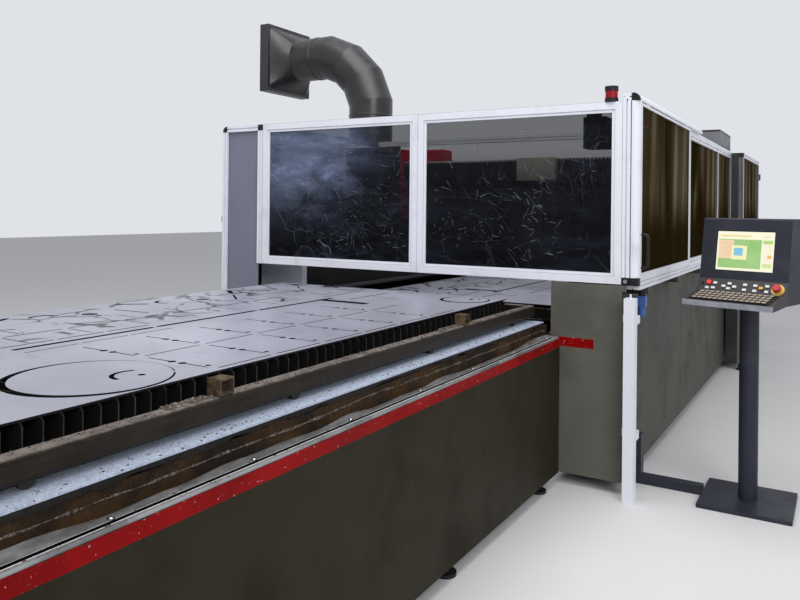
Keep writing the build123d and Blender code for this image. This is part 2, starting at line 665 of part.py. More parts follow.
def head_slide():
    """Slide plate of the head with the housing that clamps the lens barrel and the plate over it."""
    box_x = (HEAD_X - 56, HEAD_X + 66)
    box = block(box_x, (head_y - 58, slide_y[0]), HEAD_BOX_Z)
    slide = block((HEAD_X - 60, HEAD_X + 60), slide_y, (HEAD_BOX_Z[0], 1655))
    slide += fillet(box.edges().filter_by(Axis.Z).group_by(Axis.Y)[0], 8)
    slide += block((box_x[0] + 7, HEAD_X + 13), (head_y - 58, head_y - 46), (HEAD_BOX_Z[1], 1371))
    return slide - Pos(HEAD_X, head_y, sum(HEAD_BOX_Z) / 2) * Cylinder(BARREL_R + SEAT, 200)


add("bridge", bridge())
add("bridge_drive_housing", drive_housing())
add("bellows_left", bellows((-BELLOWS_END + SEAT, carriage_x[0] - SEAT)))
add("bellows_right", bellows((carriage_x[1] + SEAT, BELLOWS_END_RIGHT - SEAT)))
add("carriage", carriage())
cover_y = (BRIDGE_Y - 160, BRIDGE_Y - 45 - SEAT)
add("carriage_cover", block(carriage_x, cover_y, (1675, 1849))
    - block((carriage_x[0] + 3, carriage_x[1] - 3), (cover_y[0] + 3, cover_y[1] + 1), (1670, 1846)))
add("head_slide", head_slide())
add("cutting_head", cutting_head())
add("nozzle", nozzle())

# Enclosure: front frames, posts, rails, caps and panes
right_post = (HALF_WIDTH - PROFILE, HALF_WIDTH)
inner_post = (right_post[0] - POST_GAP - PROFILE, right_post[0] - POST_GAP)
wing_x = (-HALF_WIDTH, -HALF_WIDTH + WING_WIDTH)
left_post = (wing_x[1], wing_x[1] + PROFILE)
window_x = (left_post[1] + 5, inner_post[0])
window_middle = (window_x[0] + window_x[1]) / 2
rear_half = HALF_WIDTH + STEP_OUT
rear_y = (MAIN_LENGTH, MAIN_LENGTH + REAR_LENGTH)
cube = PROFILE


def window_frame(x):
    """Mitred aluminium frame of one front window with a step for its pane."""
    z = (SILL_Z, HEAD_Z)
    opening_x = (x[0] + PROFILE + BEAD, x[1] - PROFILE - BEAD)
    opening_z = (z[0] + PROFILE + BEAD, z[1] - PROFILE - BEAD)
    frame = block(x, (0, PROFILE), z) - block(opening_x, (-1, PROFILE + 1), opening_z)
    frame -= block((x[0] + PROFILE, x[1] - PROFILE), (-1, BEAD_STEP), (z[0] + PROFILE, z[1] - PROFILE))
    frame -= block((x[0] + PROFILE, x[1] - PROFILE), (12 + PANE, PROFILE + 1),
                   (z[0] + PROFILE, z[1] - PROFILE))
    frame -= block((x[0] + PROFILE + 5, x[1] - PROFILE - 5), (12, 12 + PANE + 1),
                   (z[0] + PROFILE + 5, z[1] - PROFILE - 5))
    return frame


def window_pane(x):
    """Tinted pane that sits in the step of a window frame."""
    return block((x[0] + PROFILE + 5, x[1] - PROFILE - 5), (12, 12 + PANE),
                 (SILL_Z + PROFILE + 5, HEAD_Z - PROFILE - 5))


halves = [(window_x[0], window_middle), (window_middle, window_x[1])]
add("front_window_frames", [window_frame(half) for half in halves])
add("front_windows", [window_pane(half) for half in halves])


def corner_post_right():
    """Rounded corner post of the operator side."""
    plane = Plane((sum(right_post) / 2, PROFILE / 2, 0), x_dir=(1, 0, 0), z_dir=(0, 0, 1))
    face = mirror(round_section(), Plane.XZ)
    return extrude(Pos(0, 0, SILL_Z + cube - 4) * (plane * face), HEAD_Z - SILL_Z - cube + 4)


def top_rail_right():
    """Rounded rail along the top of the operator side."""
    plane = Plane((sum(right_post) / 2, PROFILE / 2, HEAD_Z + PROFILE / 2), x_dir=(1, 0, 0), z_dir=(0, -1, 0))
    return extrude(plane * round_section(), -(TOP_RAIL_END_Y - PROFILE / 2))


post_z = (SILL_Z + cube - 4, HEAD_Z)
add("front_posts",
    profile_z(wing_x[0], 0, (GUARD_FOOT_Z, HEAD_Z - cube)),
    profile_z(left_post[0], 0, (SILL_Z, HEAD_Z - cube)),
    profile_z(inner_post[0], 0, post_z),
    corner_post_right(),
    profile_x((wing_x[0] + cube, wing_x[1]), 0, HEAD_Z - PROFILE),
    profile_x((wing_x[0] + cube, sill_x[0] - SEAT), PROFILE, SILL_Z))
add("top_rails",
    profile_y(inner_post[0] + 3, (0, TOP_RAIL_END_Y), HEAD_Z),
    top_rail_right(),
    profile_y(left_post[0], (PROFILE, LEFT_STEP_Y), HEAD_Z - PROFILE),
    profile_x((-rear_half + cube, inner_post[1] - 20), LEFT_STEP_Y, HEAD_Z - PROFILE))


def cap_right():
    """Black end cap of the rounded rail."""
    plane = Plane((sum(right_post) / 2, 0, HEAD_Z + PROFILE / 2), x_dir=(1, 0, 0), z_dir=(0, -1, 0))
    return extrude(plane * round_section(), -PROFILE / 2)


wing_cap = block((wing_x[0], wing_x[0] + cube), (0, cube), (HEAD_Z - cube, HEAD_Z))
wing_cap = fillet(wing_cap.edges().filter_by(Axis.Y).group_by(Axis.Z)[-1].sort_by(Axis.X)[0], WING_CORNER_R)
wing_cap -= block((wing_x[0] + PROFILE / 2 - 4, wing_x[0] + PROFILE / 2 + 4), (cube - SLOT_DEPTH, cube + 1),
                  (HEAD_Z - cube - 1, HEAD_Z - cube + SLOT_DEPTH))
wing_cap -= block((wing_x[0] + cube - SLOT_DEPTH, wing_x[0] + cube + 1), (PROFILE / 2 - 4, PROFILE / 2 + 4),
                  (HEAD_Z - cube - 1, HEAD_Z - cube + SLOT_DEPTH))
rear_cap_z = REAR_TOP_Z - cube
rear_cap = block((rear_half - PROFILE, rear_half), (rear_y[0], rear_y[0] + cube), (rear_cap_z, REAR_TOP_Z))
rear_cap -= block((rear_half - PROFILE / 2 - 4, rear_half - PROFILE / 2 + 4),
                  (rear_y[0] + cube - SLOT_DEPTH, rear_y[0] + cube + 1),
                  (rear_cap_z - 1, rear_cap_z + SLOT_DEPTH))
add("corner_caps",
    wing_cap,
    block(left_post, (0, cube), (HEAD_Z - cube, HEAD_Z)),
    block((wing_x[0] - 6, wing_x[0]), (0, cube), (WING_MID_RAIL_Z - 20, WING_MID_RAIL_Z + 20)),
    cap_right(),
    block(inner_post, (0, cube), (SILL_Z - 4, SILL_Z + cube - 4)),
    block(right_post, (0, cube), (SILL_Z - 4, SILL_Z + cube - 4)),
    rear_cap)


def bolt(x, z):
    """Socket screw with a washer, its head to the front."""
    washer = Pos(x, -1, z) * Rot(90, 0, 0) * Cylinder(10, 2)
    head = Pos(x, -6, z) * Rot(90, 0, 0) * Cylinder(7, 8)
    return washer + head


bolt_z = SILL_Z - 4 + cube / 2
add("bracket_bolts", bolt(sum(inner_post) / 2, bolt_z))

# Operator side: sill, posts, fixed panes and the sliding door
post_x = (right_post[1] - SIDE_DOOR_DEPTH - 4 - PROFILE, right_post[1] - SIDE_DOOR_DEPTH - 4)
side_posts = [SIDE_DOOR_END_Y, MAIN_LENGTH - SIDE_POST_FROM_END, MAIN_LENGTH - PROFILE]


def sill():
    """Double-width profile under the operator side."""
    plane = Plane((sum(sill_x) / 2, PROFILE + SEAT, sum(sill_z) / 2), x_dir=(1, 0, 0), z_dir=(0, 1, 0))
    return extrude(plane * slot_section(2 * PROFILE, PROFILE), MAIN_LENGTH - PROFILE - SEAT)


right_frame = [sill()]
for y in side_posts:
    right_frame.append(profile_z(post_x[0], y, (sill_z[1], HEAD_Z)))
spans = list(zip(side_posts[:-1], side_posts[1:]))
for y0, y1 in spans:
    right_frame.append(profile_y(post_x[0], (y0 + PROFILE, y1), SIDE_RAIL_TOP_Z - PROFILE))
    right_frame.append(profile_y(post_x[0], (y0 + PROFILE, y1), sill_z[1]))
    right_frame.append(block(post_x, (y0 + PROFILE, y1), (SIDE_RAIL_TOP_Z, HEAD_Z)))
right_frame.append(profile_y(post_x[0], (PROFILE + SEAT, side_posts[0]), SIDE_RAIL_TOP_Z - PROFILE))
add("right_wall_frame", right_frame)
pane_z = (sill_z[1] + PROFILE - SLOT_DEPTH, SIDE_RAIL_TOP_Z - PROFILE + SLOT_DEPTH)
pane_x = (sum(post_x) / 2 - PANE / 2, sum(post_x) / 2 + PANE / 2)
side_panes = [block(pane_x, (y0 + PROFILE - SLOT_DEPTH, y1 + SLOT_DEPTH), pane_z) for y0, y1 in spans]

door_x = (right_post[1] - SIDE_DOOR_DEPTH, right_post[1])
door_y = (PROFILE + 2, SIDE_DOOR_END_Y + 30)
door_z = (sill_z[1] + 3, SIDE_DOOR_TOP_Z)
door_inner_y = (door_y[0] + DOOR_STILE, door_y[1] - DOOR_STILE)
door_inner_z = (door_z[0] + PROFILE, door_z[1] - DOOR_HEAD)


def side_door_frame():
    """Sliding door frame with a groove for its pane and two hangers that run on the top rail."""
    frame = block(door_x, door_y, door_z)
    frame -= block((door_x[0] - 1, door_x[1] + 1), door_inner_y, door_inner_z)
    for y in (door_y[0] + 120, door_y[1] - 200):
        frame += block((door_x[0] + 4, door_x[1] - 6), (y, y + 80), (door_z[1], HEAD_Z - SEAT))
    return frame


def d_handle():
    """D-shaped pull handle: a round bar bent twice, with both ends on the door's stile."""
    bar_r, reach, low, high = 8.0, 34.0, 1158.0, 1328.0
    place = Plane((door_x[1], door_y[0] + DOOR_STILE / 2, 0), x_dir=(1, 0, 0), z_dir=(0, -1, 0))
    path = place * FilletPolyline((0, low), (reach, low), (reach, high), (0, high), radius=22)
    return sweep(Plane(origin=path @ 0, z_dir=path % 0) * Circle(bar_r), path=path)


add("side_door_frame", side_door_frame(), d_handle())
add("side_door_pane", block((sum(door_x) / 2 - PANE / 2, sum(door_x) / 2 + PANE / 2),
                            (door_inner_y[0] + SEAT, door_inner_y[1] - SEAT),
                            (door_inner_z[0] + SEAT, door_inner_z[1] - SEAT)))

# Far side wall, rear section, service doors
far_x = -HALF_WIDTH
far_frame = [profile_z(far_x, LEFT_STEP_Y - PROFILE, (GUARD_FOOT_Z, HEAD_Z))]
for z in (GUARD_FOOT_Z, WING_MID_RAIL_Z - PROFILE / 2, HEAD_Z - PROFILE):
    far_frame.append(profile_y(far_x, (PROFILE, LEFT_STEP_Y - PROFILE), z))
rear_x = (-rear_half, rear_half - PROFILE)
rear_post_z = (GUARD_FOOT_Z, REAR_TOP_Z)
rear_frame = [profile_z(rear_x[1], rear_y[0], (GUARD_FOOT_Z, REAR_TOP_Z - cube)),
              profile_z(rear_x[1], rear_y[1] - PROFILE, rear_post_z),
              profile_z(rear_x[0], rear_y[1] - PROFILE, rear_post_z),
              profile_z(rear_x[0], rear_y[0], rear_post_z),
              profile_z(rear_x[0], LEFT_STEP_Y, (GUARD_FOOT_Z, HEAD_Z))]
far_spans = [(LEFT_STEP_Y + PROFILE, rear_y[0]), (rear_y[0] + PROFILE, rear_y[1] - PROFILE)]
rail_levels = (GUARD_FOOT_Z, SILL_Z - 4, REAR_TOP_Z - PROFILE)
for z in rail_levels:
    for y in far_spans:
        rear_frame.append(profile_y(rear_x[0], y, z))
    rear_frame.append(profile_y(rear_x[1], far_spans[1], z))
for z in (GUARD_FOOT_Z, REAR_TOP_Z - PROFILE):
    rear_frame.append(profile_x((rear_x[0] + PROFILE, rear_x[1]), rear_y[1] - PROFILE, z))


panel_y = (PROFILE / 2 - 1, PROFILE / 2 + 1)
wing_panel_x = (wing_x[0] + PROFILE - SLOT_DEPTH, wing_x[1])
wing_panel = (block(wing_panel_x, panel_y, (GUARD_FOOT_Z, HEAD_Z - PROFILE + SLOT_DEPTH))
              + block((wing_x[1] - 1, wing_x[1] + SLOT_DEPTH), panel_y, (SILL_Z, HEAD_Z - cube)))
far_panels = [wing_panel]
wing_y = (PROFILE - SLOT_DEPTH, LEFT_STEP_Y - PROFILE + SLOT_DEPTH)
for z in ((GUARD_FOOT_Z + PROFILE, WING_MID_RAIL_Z - 20), (WING_MID_RAIL_Z + 20, HEAD_Z - PROFILE)):
    far_panels.append(block((far_x + 19, far_x + 21), wing_y, (z[0] - SLOT_DEPTH, z[1] + SLOT_DEPTH)))
for y in far_spans:
    for low, high in zip(rail_levels[:-1], rail_levels[1:]):
        far_panels.append(block((rear_x[0] + 19, rear_x[0] + 21), (y[0] - SLOT_DEPTH, y[1] + SLOT_DEPTH),
                                (low + PROFILE - SLOT_DEPTH, high + SLOT_DEPTH)))
rear_span = (far_spans[1][0] - SLOT_DEPTH, far_spans[1][1] + SLOT_DEPTH)
far_panels.append(block((rear_x[1] + 19, rear_x[1] + 21), rear_span,
                        (rail_levels[0] + PROFILE - SLOT_DEPTH, rail_levels[1] + SLOT_DEPTH)))
far_panels.append(block((rear_x[0] + PROFILE, far_x + PROFILE), (LEFT_STEP_Y, LEFT_STEP_Y + 2),
                        (GUARD_FOOT_Z, HEAD_Z - PROFILE)))
step_y = (MAIN_LENGTH, MAIN_LENGTH + 2)
far_panels.append(block((post_x[0] + 4, rear_x[1]), step_y, (GUARD_FOOT_Z, REAR_TOP_Z)))
add("sheet_panels", far_panels)
rear_pane = block((rear_x[1] + 18, rear_x[1] + 18 + PANE), rear_span,
                  (rail_levels[1] + PROFILE - SLOT_DEPTH, rail_levels[2] + SLOT_DEPTH))
add("side_panes", side_panes, rear_pane)


hinge_x = rear_half + 4.0
hinge_y = rear_y[1] + 12.0
hinge_z = (260.0, 1030.0, 1800.0)
HINGE_L = 60.0
PIN_R = 5.0


def hinge_pins(side):
    """Hinge pins with the bracket that fixes each to the rear post."""
    pins = None
    for z in hinge_z:
        bracket = block((hinge_x - 7, hinge_x + 7), (hinge_y - 40, hinge_y + 7), (z - 10, z))
        pin = bracket + Pos(hinge_x, hinge_y, z + HINGE_L / 2) * Cylinder(PIN_R, HINGE_L)
        pins = pin if pins is None else pins + pin
    return pins if side > 0 else mirror(pins, Plane.YZ)


def service_door(side):
    """Folded sheet door of the rear with louvres, a latch handle and three hinge knuckles."""
    x = (2.0, rear_half - 4)
    y = (rear_y[1], rear_y[1] + SHEET_METAL)
    z = (GUARD_FOOT_Z + 6, REAR_TOP_Z - 6)
    door = block(x, y, z)
    middle = (x[0] + x[1]) / 2
    for i in range(8):
        slot_z = z[0] + 160 + i * 42
        door -= block((middle - 300, middle + 300), (y[0] - 1, y[1] + 1), (slot_z, slot_z + 12))
    latch_x = x[0] + 70
    door += Pos(latch_x, y[1] + 8, 1050) * Rot(90, 0, 0) * Cylinder(22, 16)
    door += block((latch_x - 9, latch_x + 9), (y[1] + 10, y[1] + 24), (930, 1050))
    for pin_z in hinge_z:
        knuckle_z = (pin_z + SEAT, pin_z + HINGE_L - 2)
        door += block((x[1] - 60, hinge_x), (y[1], y[1] + 4), knuckle_z)
        middle_z = sum(knuckle_z) / 2
        door += Pos(hinge_x, hinge_y, middle_z) * Cylinder(11, knuckle_z[1] - knuckle_z[0])
        door -= Pos(hinge_x, hinge_y, middle_z) * Cylinder(PIN_R + 0.05, HINGE_L + 4)
    return door if side > 0 else mirror(door, Plane.YZ)


hinge_posts = {(-1): rear_frame[2], 1: rear_frame[1]}
for side, post in hinge_posts.items():
    rear_frame[rear_frame.index(post)] = post + hinge_pins(side)
add("rear_frame", far_frame, rear_frame)
add("service_door_left", service_door(-1))
add("service_door_right", service_door(1))

# Laser source in the rear section
laser_z = (720.0, 1340.0)
laser = block((-720, 720), (rear_y[0] + 560, rear_y[0] + 1060), laser_z)
laser = chamfer(laser.edges().filter_by(Axis.X), 40)
laser_stand = None
for x in (-640, 560):
    for y in (rear_y[0] + 580, rear_y[0] + 960):
        leg = block((x, x + 80), (y, y + 80), (0, laser_z[0]))
        laser_stand = leg if laser_stand is None else laser_stand + leg
laser_stand += block((-640, 640), (rear_y[0] + 600, rear_y[0] + 640), (laser_z[0] - 80, laser_z[0]))
laser_stand += block((-640, 640), (rear_y[0] + 980, rear_y[0] + 1020), (laser_z[0] - 80, laser_z[0]))
for x in (-640, 560):
    laser_stand += block((x, x + 80), (BASE_LENGTH - 200, rear_y[0] + 600), (FOOT_H + 120, FOOT_H + 180))
add("laser_source", laser)
add("laser_stand", laser_stand)

# Exhaust: plenum, gored duct and wall box


def duct_path():
    """Centre line of the duct: upright, a bend of four mitres, then level."""
    gores = 4
    turn = 90 / gores
    half = DUCT_BEND_R * tan(radians(turn / 2))
    path = [(DUCT_X, HEAD_Z + SEAT), (DUCT_X, DUCT_BEND_Z + half)]
    for i in range(gores - 1):
        angle = radians((i + 1) * turn)
        path.append((path[-1][0] - 2 * half * sin(angle), path[-1][1] + 2 * half * cos(angle)))
    return path + [(WALL_BOX_X + TRANSITION_L, path[-1][1])]


def duct_ring(place, radius, height):
    """Raised ring round the duct, with bevelled edges."""
    return place * (chamfer(Cylinder(radius, height).edges(), height / 4) - Cylinder(DUCT_R - 1, height + 2))


def transition(grow):
    """Square-to-round piece between the wall box and the level duct."""
    side = TRANSITION_SIDE + 2 * grow
    box_face = Plane((WALL_BOX_X + SEAT, DUCT_Y, DUCT_LEVEL_Z), x_dir=(0, 1, 0), z_dir=(1, 0, 0))
    round_face = Plane((WALL_BOX_X + TRANSITION_L, DUCT_Y, DUCT_LEVEL_Z), x_dir=(0, 1, 0), z_dir=(1, 0, 0))
    return loft([box_face * RectangleRounded(side, side, 40 + grow), round_face * Circle(DUCT_R + grow)])


def duct():
    """Gored duct with a collar, raised joints and a square-to-round piece at the wall."""
    line = Polyline(*[(x, DUCT_Y, z) for x, z in duct_path()])
    start = Plane(origin=line @ 0, x_dir=(1, 0, 0), z_dir=(0, 0, 1))
    outer, inner = (sweep(start * Circle(radius), path=line, transition=Transition.RIGHT)
                    for radius in (DUCT_R, DUCT_R - DUCT_WALL))
    pipe = outer + transition(0)
    pipe += duct_ring(Pos(DUCT_X, DUCT_Y, HEAD_Z + SEAT + COLLAR_H / 2), DUCT_R + 6, COLLAR_H)
    pipe += duct_ring(Pos(DUCT_X, DUCT_Y, DUCT_BEND_Z), DUCT_R + 5, 16)
    pipe += duct_ring(Pos(DUCT_X - DUCT_BEND_R, DUCT_Y, DUCT_LEVEL_Z) * Rot(0, 90, 0), DUCT_R + 4, 10)
    return pipe - inner - transition(-DUCT_WALL)


plenum_x = (-rear_half + PROFILE + SEAT, wing_x[1] - 6)
plenum_y = (DUCT_Y - DUCT_R - 3, DUCT_Y + DUCT_R + 3)
plenum_z = (HEAD_Z - PLENUM_H, HEAD_Z)
plenum = block(plenum_x, plenum_y, plenum_z)
plenum -= block((plenum_x[0] + 3, plenum_x[1] - 3), (plenum_y[0] + 3, plenum_y[1] - 3),
                (plenum_z[0] - 1, plenum_z[1] - 3))
plenum -= Pos(DUCT_X, DUCT_Y, HEAD_Z) * Cylinder(150, 20)
add("exhaust_plenum", plenum)
add("exhaust_duct", duct())
box_x = (WALL_BOX_X - WALL_BOX_DEPTH, WALL_BOX_X)
wall_box = block(box_x, (DUCT_Y - WALL_BOX / 2, DUCT_Y + WALL_BOX / 2),
                 (DUCT_LEVEL_Z - WALL_BOX / 2, DUCT_LEVEL_Z + WALL_BOX / 2))
mouth = TRANSITION_SIDE / 2 - 2 * DUCT_WALL - 10
wall_box -= block((WALL_BOX_X - 6, WALL_BOX_X + 6), (DUCT_Y - mouth, DUCT_Y + mouth),
                  (DUCT_LEVEL_Z - mouth, DUCT_LEVEL_Z + mouth))
wall_box -= block((box_x[0] - 1, box_x[1] - 4), (DUCT_Y - WALL_BOX / 2 + 4, DUCT_Y + WALL_BOX / 2 - 4),
                  (DUCT_LEVEL_Z - WALL_BOX / 2 + 4, DUCT_LEVEL_Z + WALL_BOX / 2 - 4))
rim = WALL_BOX / 2 - 4
rim_y, rim_z = (DUCT_Y - rim, DUCT_Y + rim), (DUCT_LEVEL_Z - rim, DUCT_LEVEL_Z + rim)
flange = block((box_x[0], box_x[0] + 4), rim_y, rim_z)
rim -= FLANGE_W
rim_y, rim_z = (DUCT_Y - rim, DUCT_Y + rim), (DUCT_LEVEL_Z - rim, DUCT_LEVEL_Z + rim)
flange -= block((box_x[0] - 1, box_x[0] + 5), rim_y, rim_z)
rim += FLANGE_W / 2
for side_y in (-rim, rim):
    for side_z in (-rim, rim):
        place = Pos(box_x[0] + 2, DUCT_Y + side_y, DUCT_LEVEL_Z + side_z) * Rot(0, 90, 0)
        hole = place * Cylinder(FLANGE_HOLE_R, 6)
        flange -= hole
add("exhaust_wall_box", wall_box + flange)

# Small equipment on and around the enclosure
beacon_x, beacon_y = inner_post[0] - 63, PROFILE / 2
add("beacon_body", Pos(beacon_x, beacon_y, HEAD_Z + 10) * Cylinder(34, 20),
    Pos(beacon_x, beacon_y, HEAD_Z + 69) * Cylinder(34, 24))
beacon_lens = Pos(beacon_x, beacon_y, HEAD_Z + 38.5) * Cylinder(30, 37)
for i in range(5):
    beacon_lens += Pos(beacon_x, beacon_y, HEAD_Z + 24.5 + 7 * i) * Cylinder(31.5, 3)
add("beacon_lens", beacon_lens)
junction_y = (MAIN_LENGTH - 721, MAIN_LENGTH - 73)
junction = block((post_x[0] - 120, post_x[1]), junction_y, (HEAD_Z + 10, HEAD_Z + 136))
junction = fillet(junction.edges().filter_by(Axis.Z), 4)
for y in (junction_y[0] + 20, junction_y[1] - 60):
    junction += block((post_x[0], post_x[1]), (y, y + 40), (HEAD_Z, HEAD_Z + 10))
add("junction_box", junction)
light_x = (inner_post[0] - 219, inner_post[0] - 100)
add("work_light", block(light_x, (PROFILE + 10, PROFILE + 140), (HEAD_Z - 231, HEAD_Z - 66))
    + block((light_x[0] + 20, light_x[1] - 20), (PROFILE, PROFILE + 10), (HEAD_Z - 140, HEAD_Z - 5)))
column_x = (HALF_WIDTH - 47, HALF_WIDTH + 6)
column_y = (-100.0, -40.0)
plug_place = Pos(sum(column_x) / 2, sum(column_y) / 2, SENSOR_TOP_Z + 10)
column = block(column_x, column_y, (0, SENSOR_TOP_Z)) + plug_place * Cylinder(5, 20)
for z in (300.0, 880.0):
    column += block(column_x, (column_y[1], 18), (z, z + 40))
    column += block((BASE_OUT, column_x[1]), (10, 18), (z, z + 40))
add("sensor_column", column)
reg_x, reg_y = BASE_OUT + 55, REGULATOR_Y
regulator = block((reg_x - 22, reg_x + 22), (reg_y - 22, reg_y + 22), (945, 1000))
regulator += block((BASE_OUT, reg_x - 22), (reg_y - 15, reg_y + 15), (952, 992))
port_place = Pos(reg_x + 22 - AIR_PORT_DEPTH / 2, reg_y, 972.5) * Rot(0, 90, 0)
regulator -= port_place * Cylinder(AIR_PORT_R, AIR_PORT_DEPTH)
bowl = chamfer((Pos(reg_x, reg_y, 917.5) * Cylinder(20, 55)).edges().group_by(Axis.Z)[0], 8)
add("regulator_body", regulator, bowl)
add("regulator_knob", Pos(reg_x, reg_y, 1017 + SEAT) * Cylinder(18, 34))

# Console: pedestal, housing, screen, keyboard and buttons
console_place = Pos(CONSOLE_X, CONSOLE_Y, 0) * Rot(0, 0, CONSOLE_TURN)
face_top, face_foot = (-40.0, 1415.0), (-90.0, 1113.0)
panel_foot, deck_front = (-130.0, 1053.0), (-275.0, 1015.0)


def on_slope(top, foot, x, share, lift):
    """Point at a share of the way down a sloping face, lifted off it."""
    run = (foot[0] - top[0], foot[1] - top[1])
    length = (run[0] ** 2 + run[1] ** 2) ** 0.5
    normal = (run[1] / length, -run[0] / length)
    return (x, top[0] + share * run[0] + lift * normal[0], top[1] + share * run[1] + lift * normal[1])


def slope_place(top, foot, x, share, lift):
    """Location on a sloping face with its own Z out of the face."""
    run = (foot[0] - top[0], foot[1] - top[1])
    length = (run[0] ** 2 + run[1] ** 2) ** 0.5
    outward = (0, run[1] / length, -run[0] / length)
    plane = Plane(on_slope(top, foot, x, share, lift), x_dir=(1, 0, 0), z_dir=outward)
    return plane.location


def console_housing():
    """Moulded housing: monitor box, sloping button panel and keyboard deck in one profile."""
    outline = Polyline(face_top, face_foot, panel_foot, deck_front, (-275, 990), (-120, 1004), (85, 1004),
                       (95, 1380), (60, 1415), close=True)
    body = extrude(make_face(Plane.YZ * outline), CONSOLE_W / 2, both=True)
    recess = slope_place(face_top, face_foot, *SCREEN_PLACE, 0) * Box(SCREEN_W + 10, SCREEN_H + 10, 12)
    return chamfer(body.edges().filter_by(Axis.X).group_by(Axis.Z)[-1], 6) - recess


duct_end = CONSOLE_X - 210
floor_duct = block((BASE_OUT, duct_end), (CONSOLE_Y - 30, CONSOLE_Y + 30), (0, 45))
floor_duct += block((BASE_OUT, BASE_OUT + 50), (CONSOLE_Y - 30, CONSOLE_Y + 30), (0, 260))
add("console_pedestal", floor_duct,
    Pos(CONSOLE_X, CONSOLE_Y, 10) * Box(420, 420, 20)
    + Pos(CONSOLE_X, CONSOLE_Y, 20 + (SWIVEL_Z - 24) / 2) * Cylinder(COLUMN_R, SWIVEL_Z - 24 - 0.0))
housing = console_housing() + Pos(0, 0, 1004) * Cylinder(60, 7)
screen_place = console_place * slope_place(face_top, face_foot, *SCREEN_PLACE, -3)
add("console_screen", screen_place * Box(SCREEN_W, SCREEN_H, 5))
keyboard = slope_place(panel_foot, deck_front, 0, 0.5, 2) * Box(380, 120, 4)
key_rows, key_columns = 4, 14
for row in range(key_rows):
    for column in range(key_columns):
        x = (column - (key_columns - 1) / 2) * 25.5
        keyboard += slope_place(panel_foot, deck_front, x, 0.2 + 0.2 * row, 6) * Box(20, 20, 6)
add("console_keyboard", console_place * keyboard)


def button_stem(place, lift):
    """Round stem that goes into the pocket of a button."""
    return place * Pos(0, 0, (lift - BUTTON_STEM) / 2) * Cylinder(STEM_R, lift + BUTTON_STEM)


def push_button(place, cap, height, lift):
    """Button: its cap stands above the sloping panel on a stem."""
    return place * Pos(0, 0, lift) * extrude(cap, height - lift) + button_stem(place, lift)


def stop_button(place, height, lift):
    """Mushroom button with a rounded head."""
    head = Pos(0, 0, height - 7) * Cylinder(20, 14)
    head = fillet(head.edges().group_by(Axis.Z)[-1], 6)
    neck = Pos(0, 0, (lift + height - 14) / 2) * Cylinder(13, height - 14 - lift)
    return place * (head + neck) + button_stem(place, lift)


def on_panel(x, share, lift=0):
    """Location on the sloping button panel."""
    return slope_place(face_foot, panel_foot, x, share, lift)


STEM_R = 5.0
start_place, reset_place, stop_place = on_panel(-156, 0.37), on_panel(100, 0.56), on_panel(176, 0.58)
for place in (start_place, reset_place, stop_place):
    housing -= place * Cylinder(STEM_R + BUTTON_GAP, 2 * BUTTON_POCKET)
add("console_housing", console_place * housing)
add("start_button", console_place * push_button(start_place, Circle(10), 11, 3.5))
add("reset_button", console_place * push_button(reset_place, RectangleRounded(KEY_W, KEY_H, 2), 9, 3.5))
add("stop_button", console_place * stop_button(stop_place, 30, 7.5))
key_shares = {-125: 0.38, -53: 0.37, 22: 0.38, 71: 0.39, 126: 0.37, -80: 0.59, -27: 0.59,
              -160: 0.8, -130: 0.78, -54: 0.75, 23: 0.77, 72: 0.79, 128: 0.79}
keys = [console_place * on_panel(x, share) * extrude(RectangleRounded(KEY_W, KEY_H, 2), 6)
        for x, share in key_shares.items()]
selector = console_place * on_panel(-190, 0.42, 4) * Cylinder(7, 8)
ring = Cylinder(STOP_RING_R, 3) - Cylinder(STEM_R + BUTTON_GAP, 5)
add("panel_buttons", keys, selector, console_place * on_panel(176, 0.58, 1.5) * ring)

# The origin goes to the middle of the footprint, on the floor
boxes = [solid.bounding_box() for solids in NODES.values() for solid in solids]
low = [min(getattr(box.min, axis) for box in boxes) for axis in "XYZ"]
high = [max(getattr(box.max, axis) for box in boxes) for axis in "XYZ"]
SHIFT = Pos(-(low[0] + high[0]) / 2, -(low[1] + high[1]) / 2, -low[2])


def main():
    """Write one file for each node."""
    os.makedirs("parts", exist_ok=True)
    for name, solids in NODES.items():
        placed = [SHIFT * solid for solid in solids]
        shape = placed[0] if len(placed) == 1 else Compound(children=placed)
        export_step(shape, f"parts/{name}.step")
    print(f"{len(NODES)} nodes, moved by {SHIFT.position}, from {low} to {high}")


if __name__ == "__main__":
    main()
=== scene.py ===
"""Looks of a laser cutting machine: finishes for its CAD pieces and the small pieces they carry."""

import math

import bmesh
import bpy
from mathutils import Matrix, Vector, noise


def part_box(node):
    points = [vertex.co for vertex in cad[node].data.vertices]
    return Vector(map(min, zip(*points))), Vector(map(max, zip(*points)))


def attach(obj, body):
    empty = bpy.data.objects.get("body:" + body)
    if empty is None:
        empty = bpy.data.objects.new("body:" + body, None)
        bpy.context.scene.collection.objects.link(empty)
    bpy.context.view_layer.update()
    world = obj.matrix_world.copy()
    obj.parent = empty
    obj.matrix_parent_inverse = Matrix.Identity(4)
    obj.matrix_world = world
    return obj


bl_info = {
    "name": "Laser cutter looks",
    "version": (1, 0, 0),
    "blender": (4, 5, 0),
    "location": "3D View > Sidebar > Laser cutter",
    "description": "Finishes a sheet metal laser cutting machine and adds the small pieces it carries",
    "category": "Object",
}

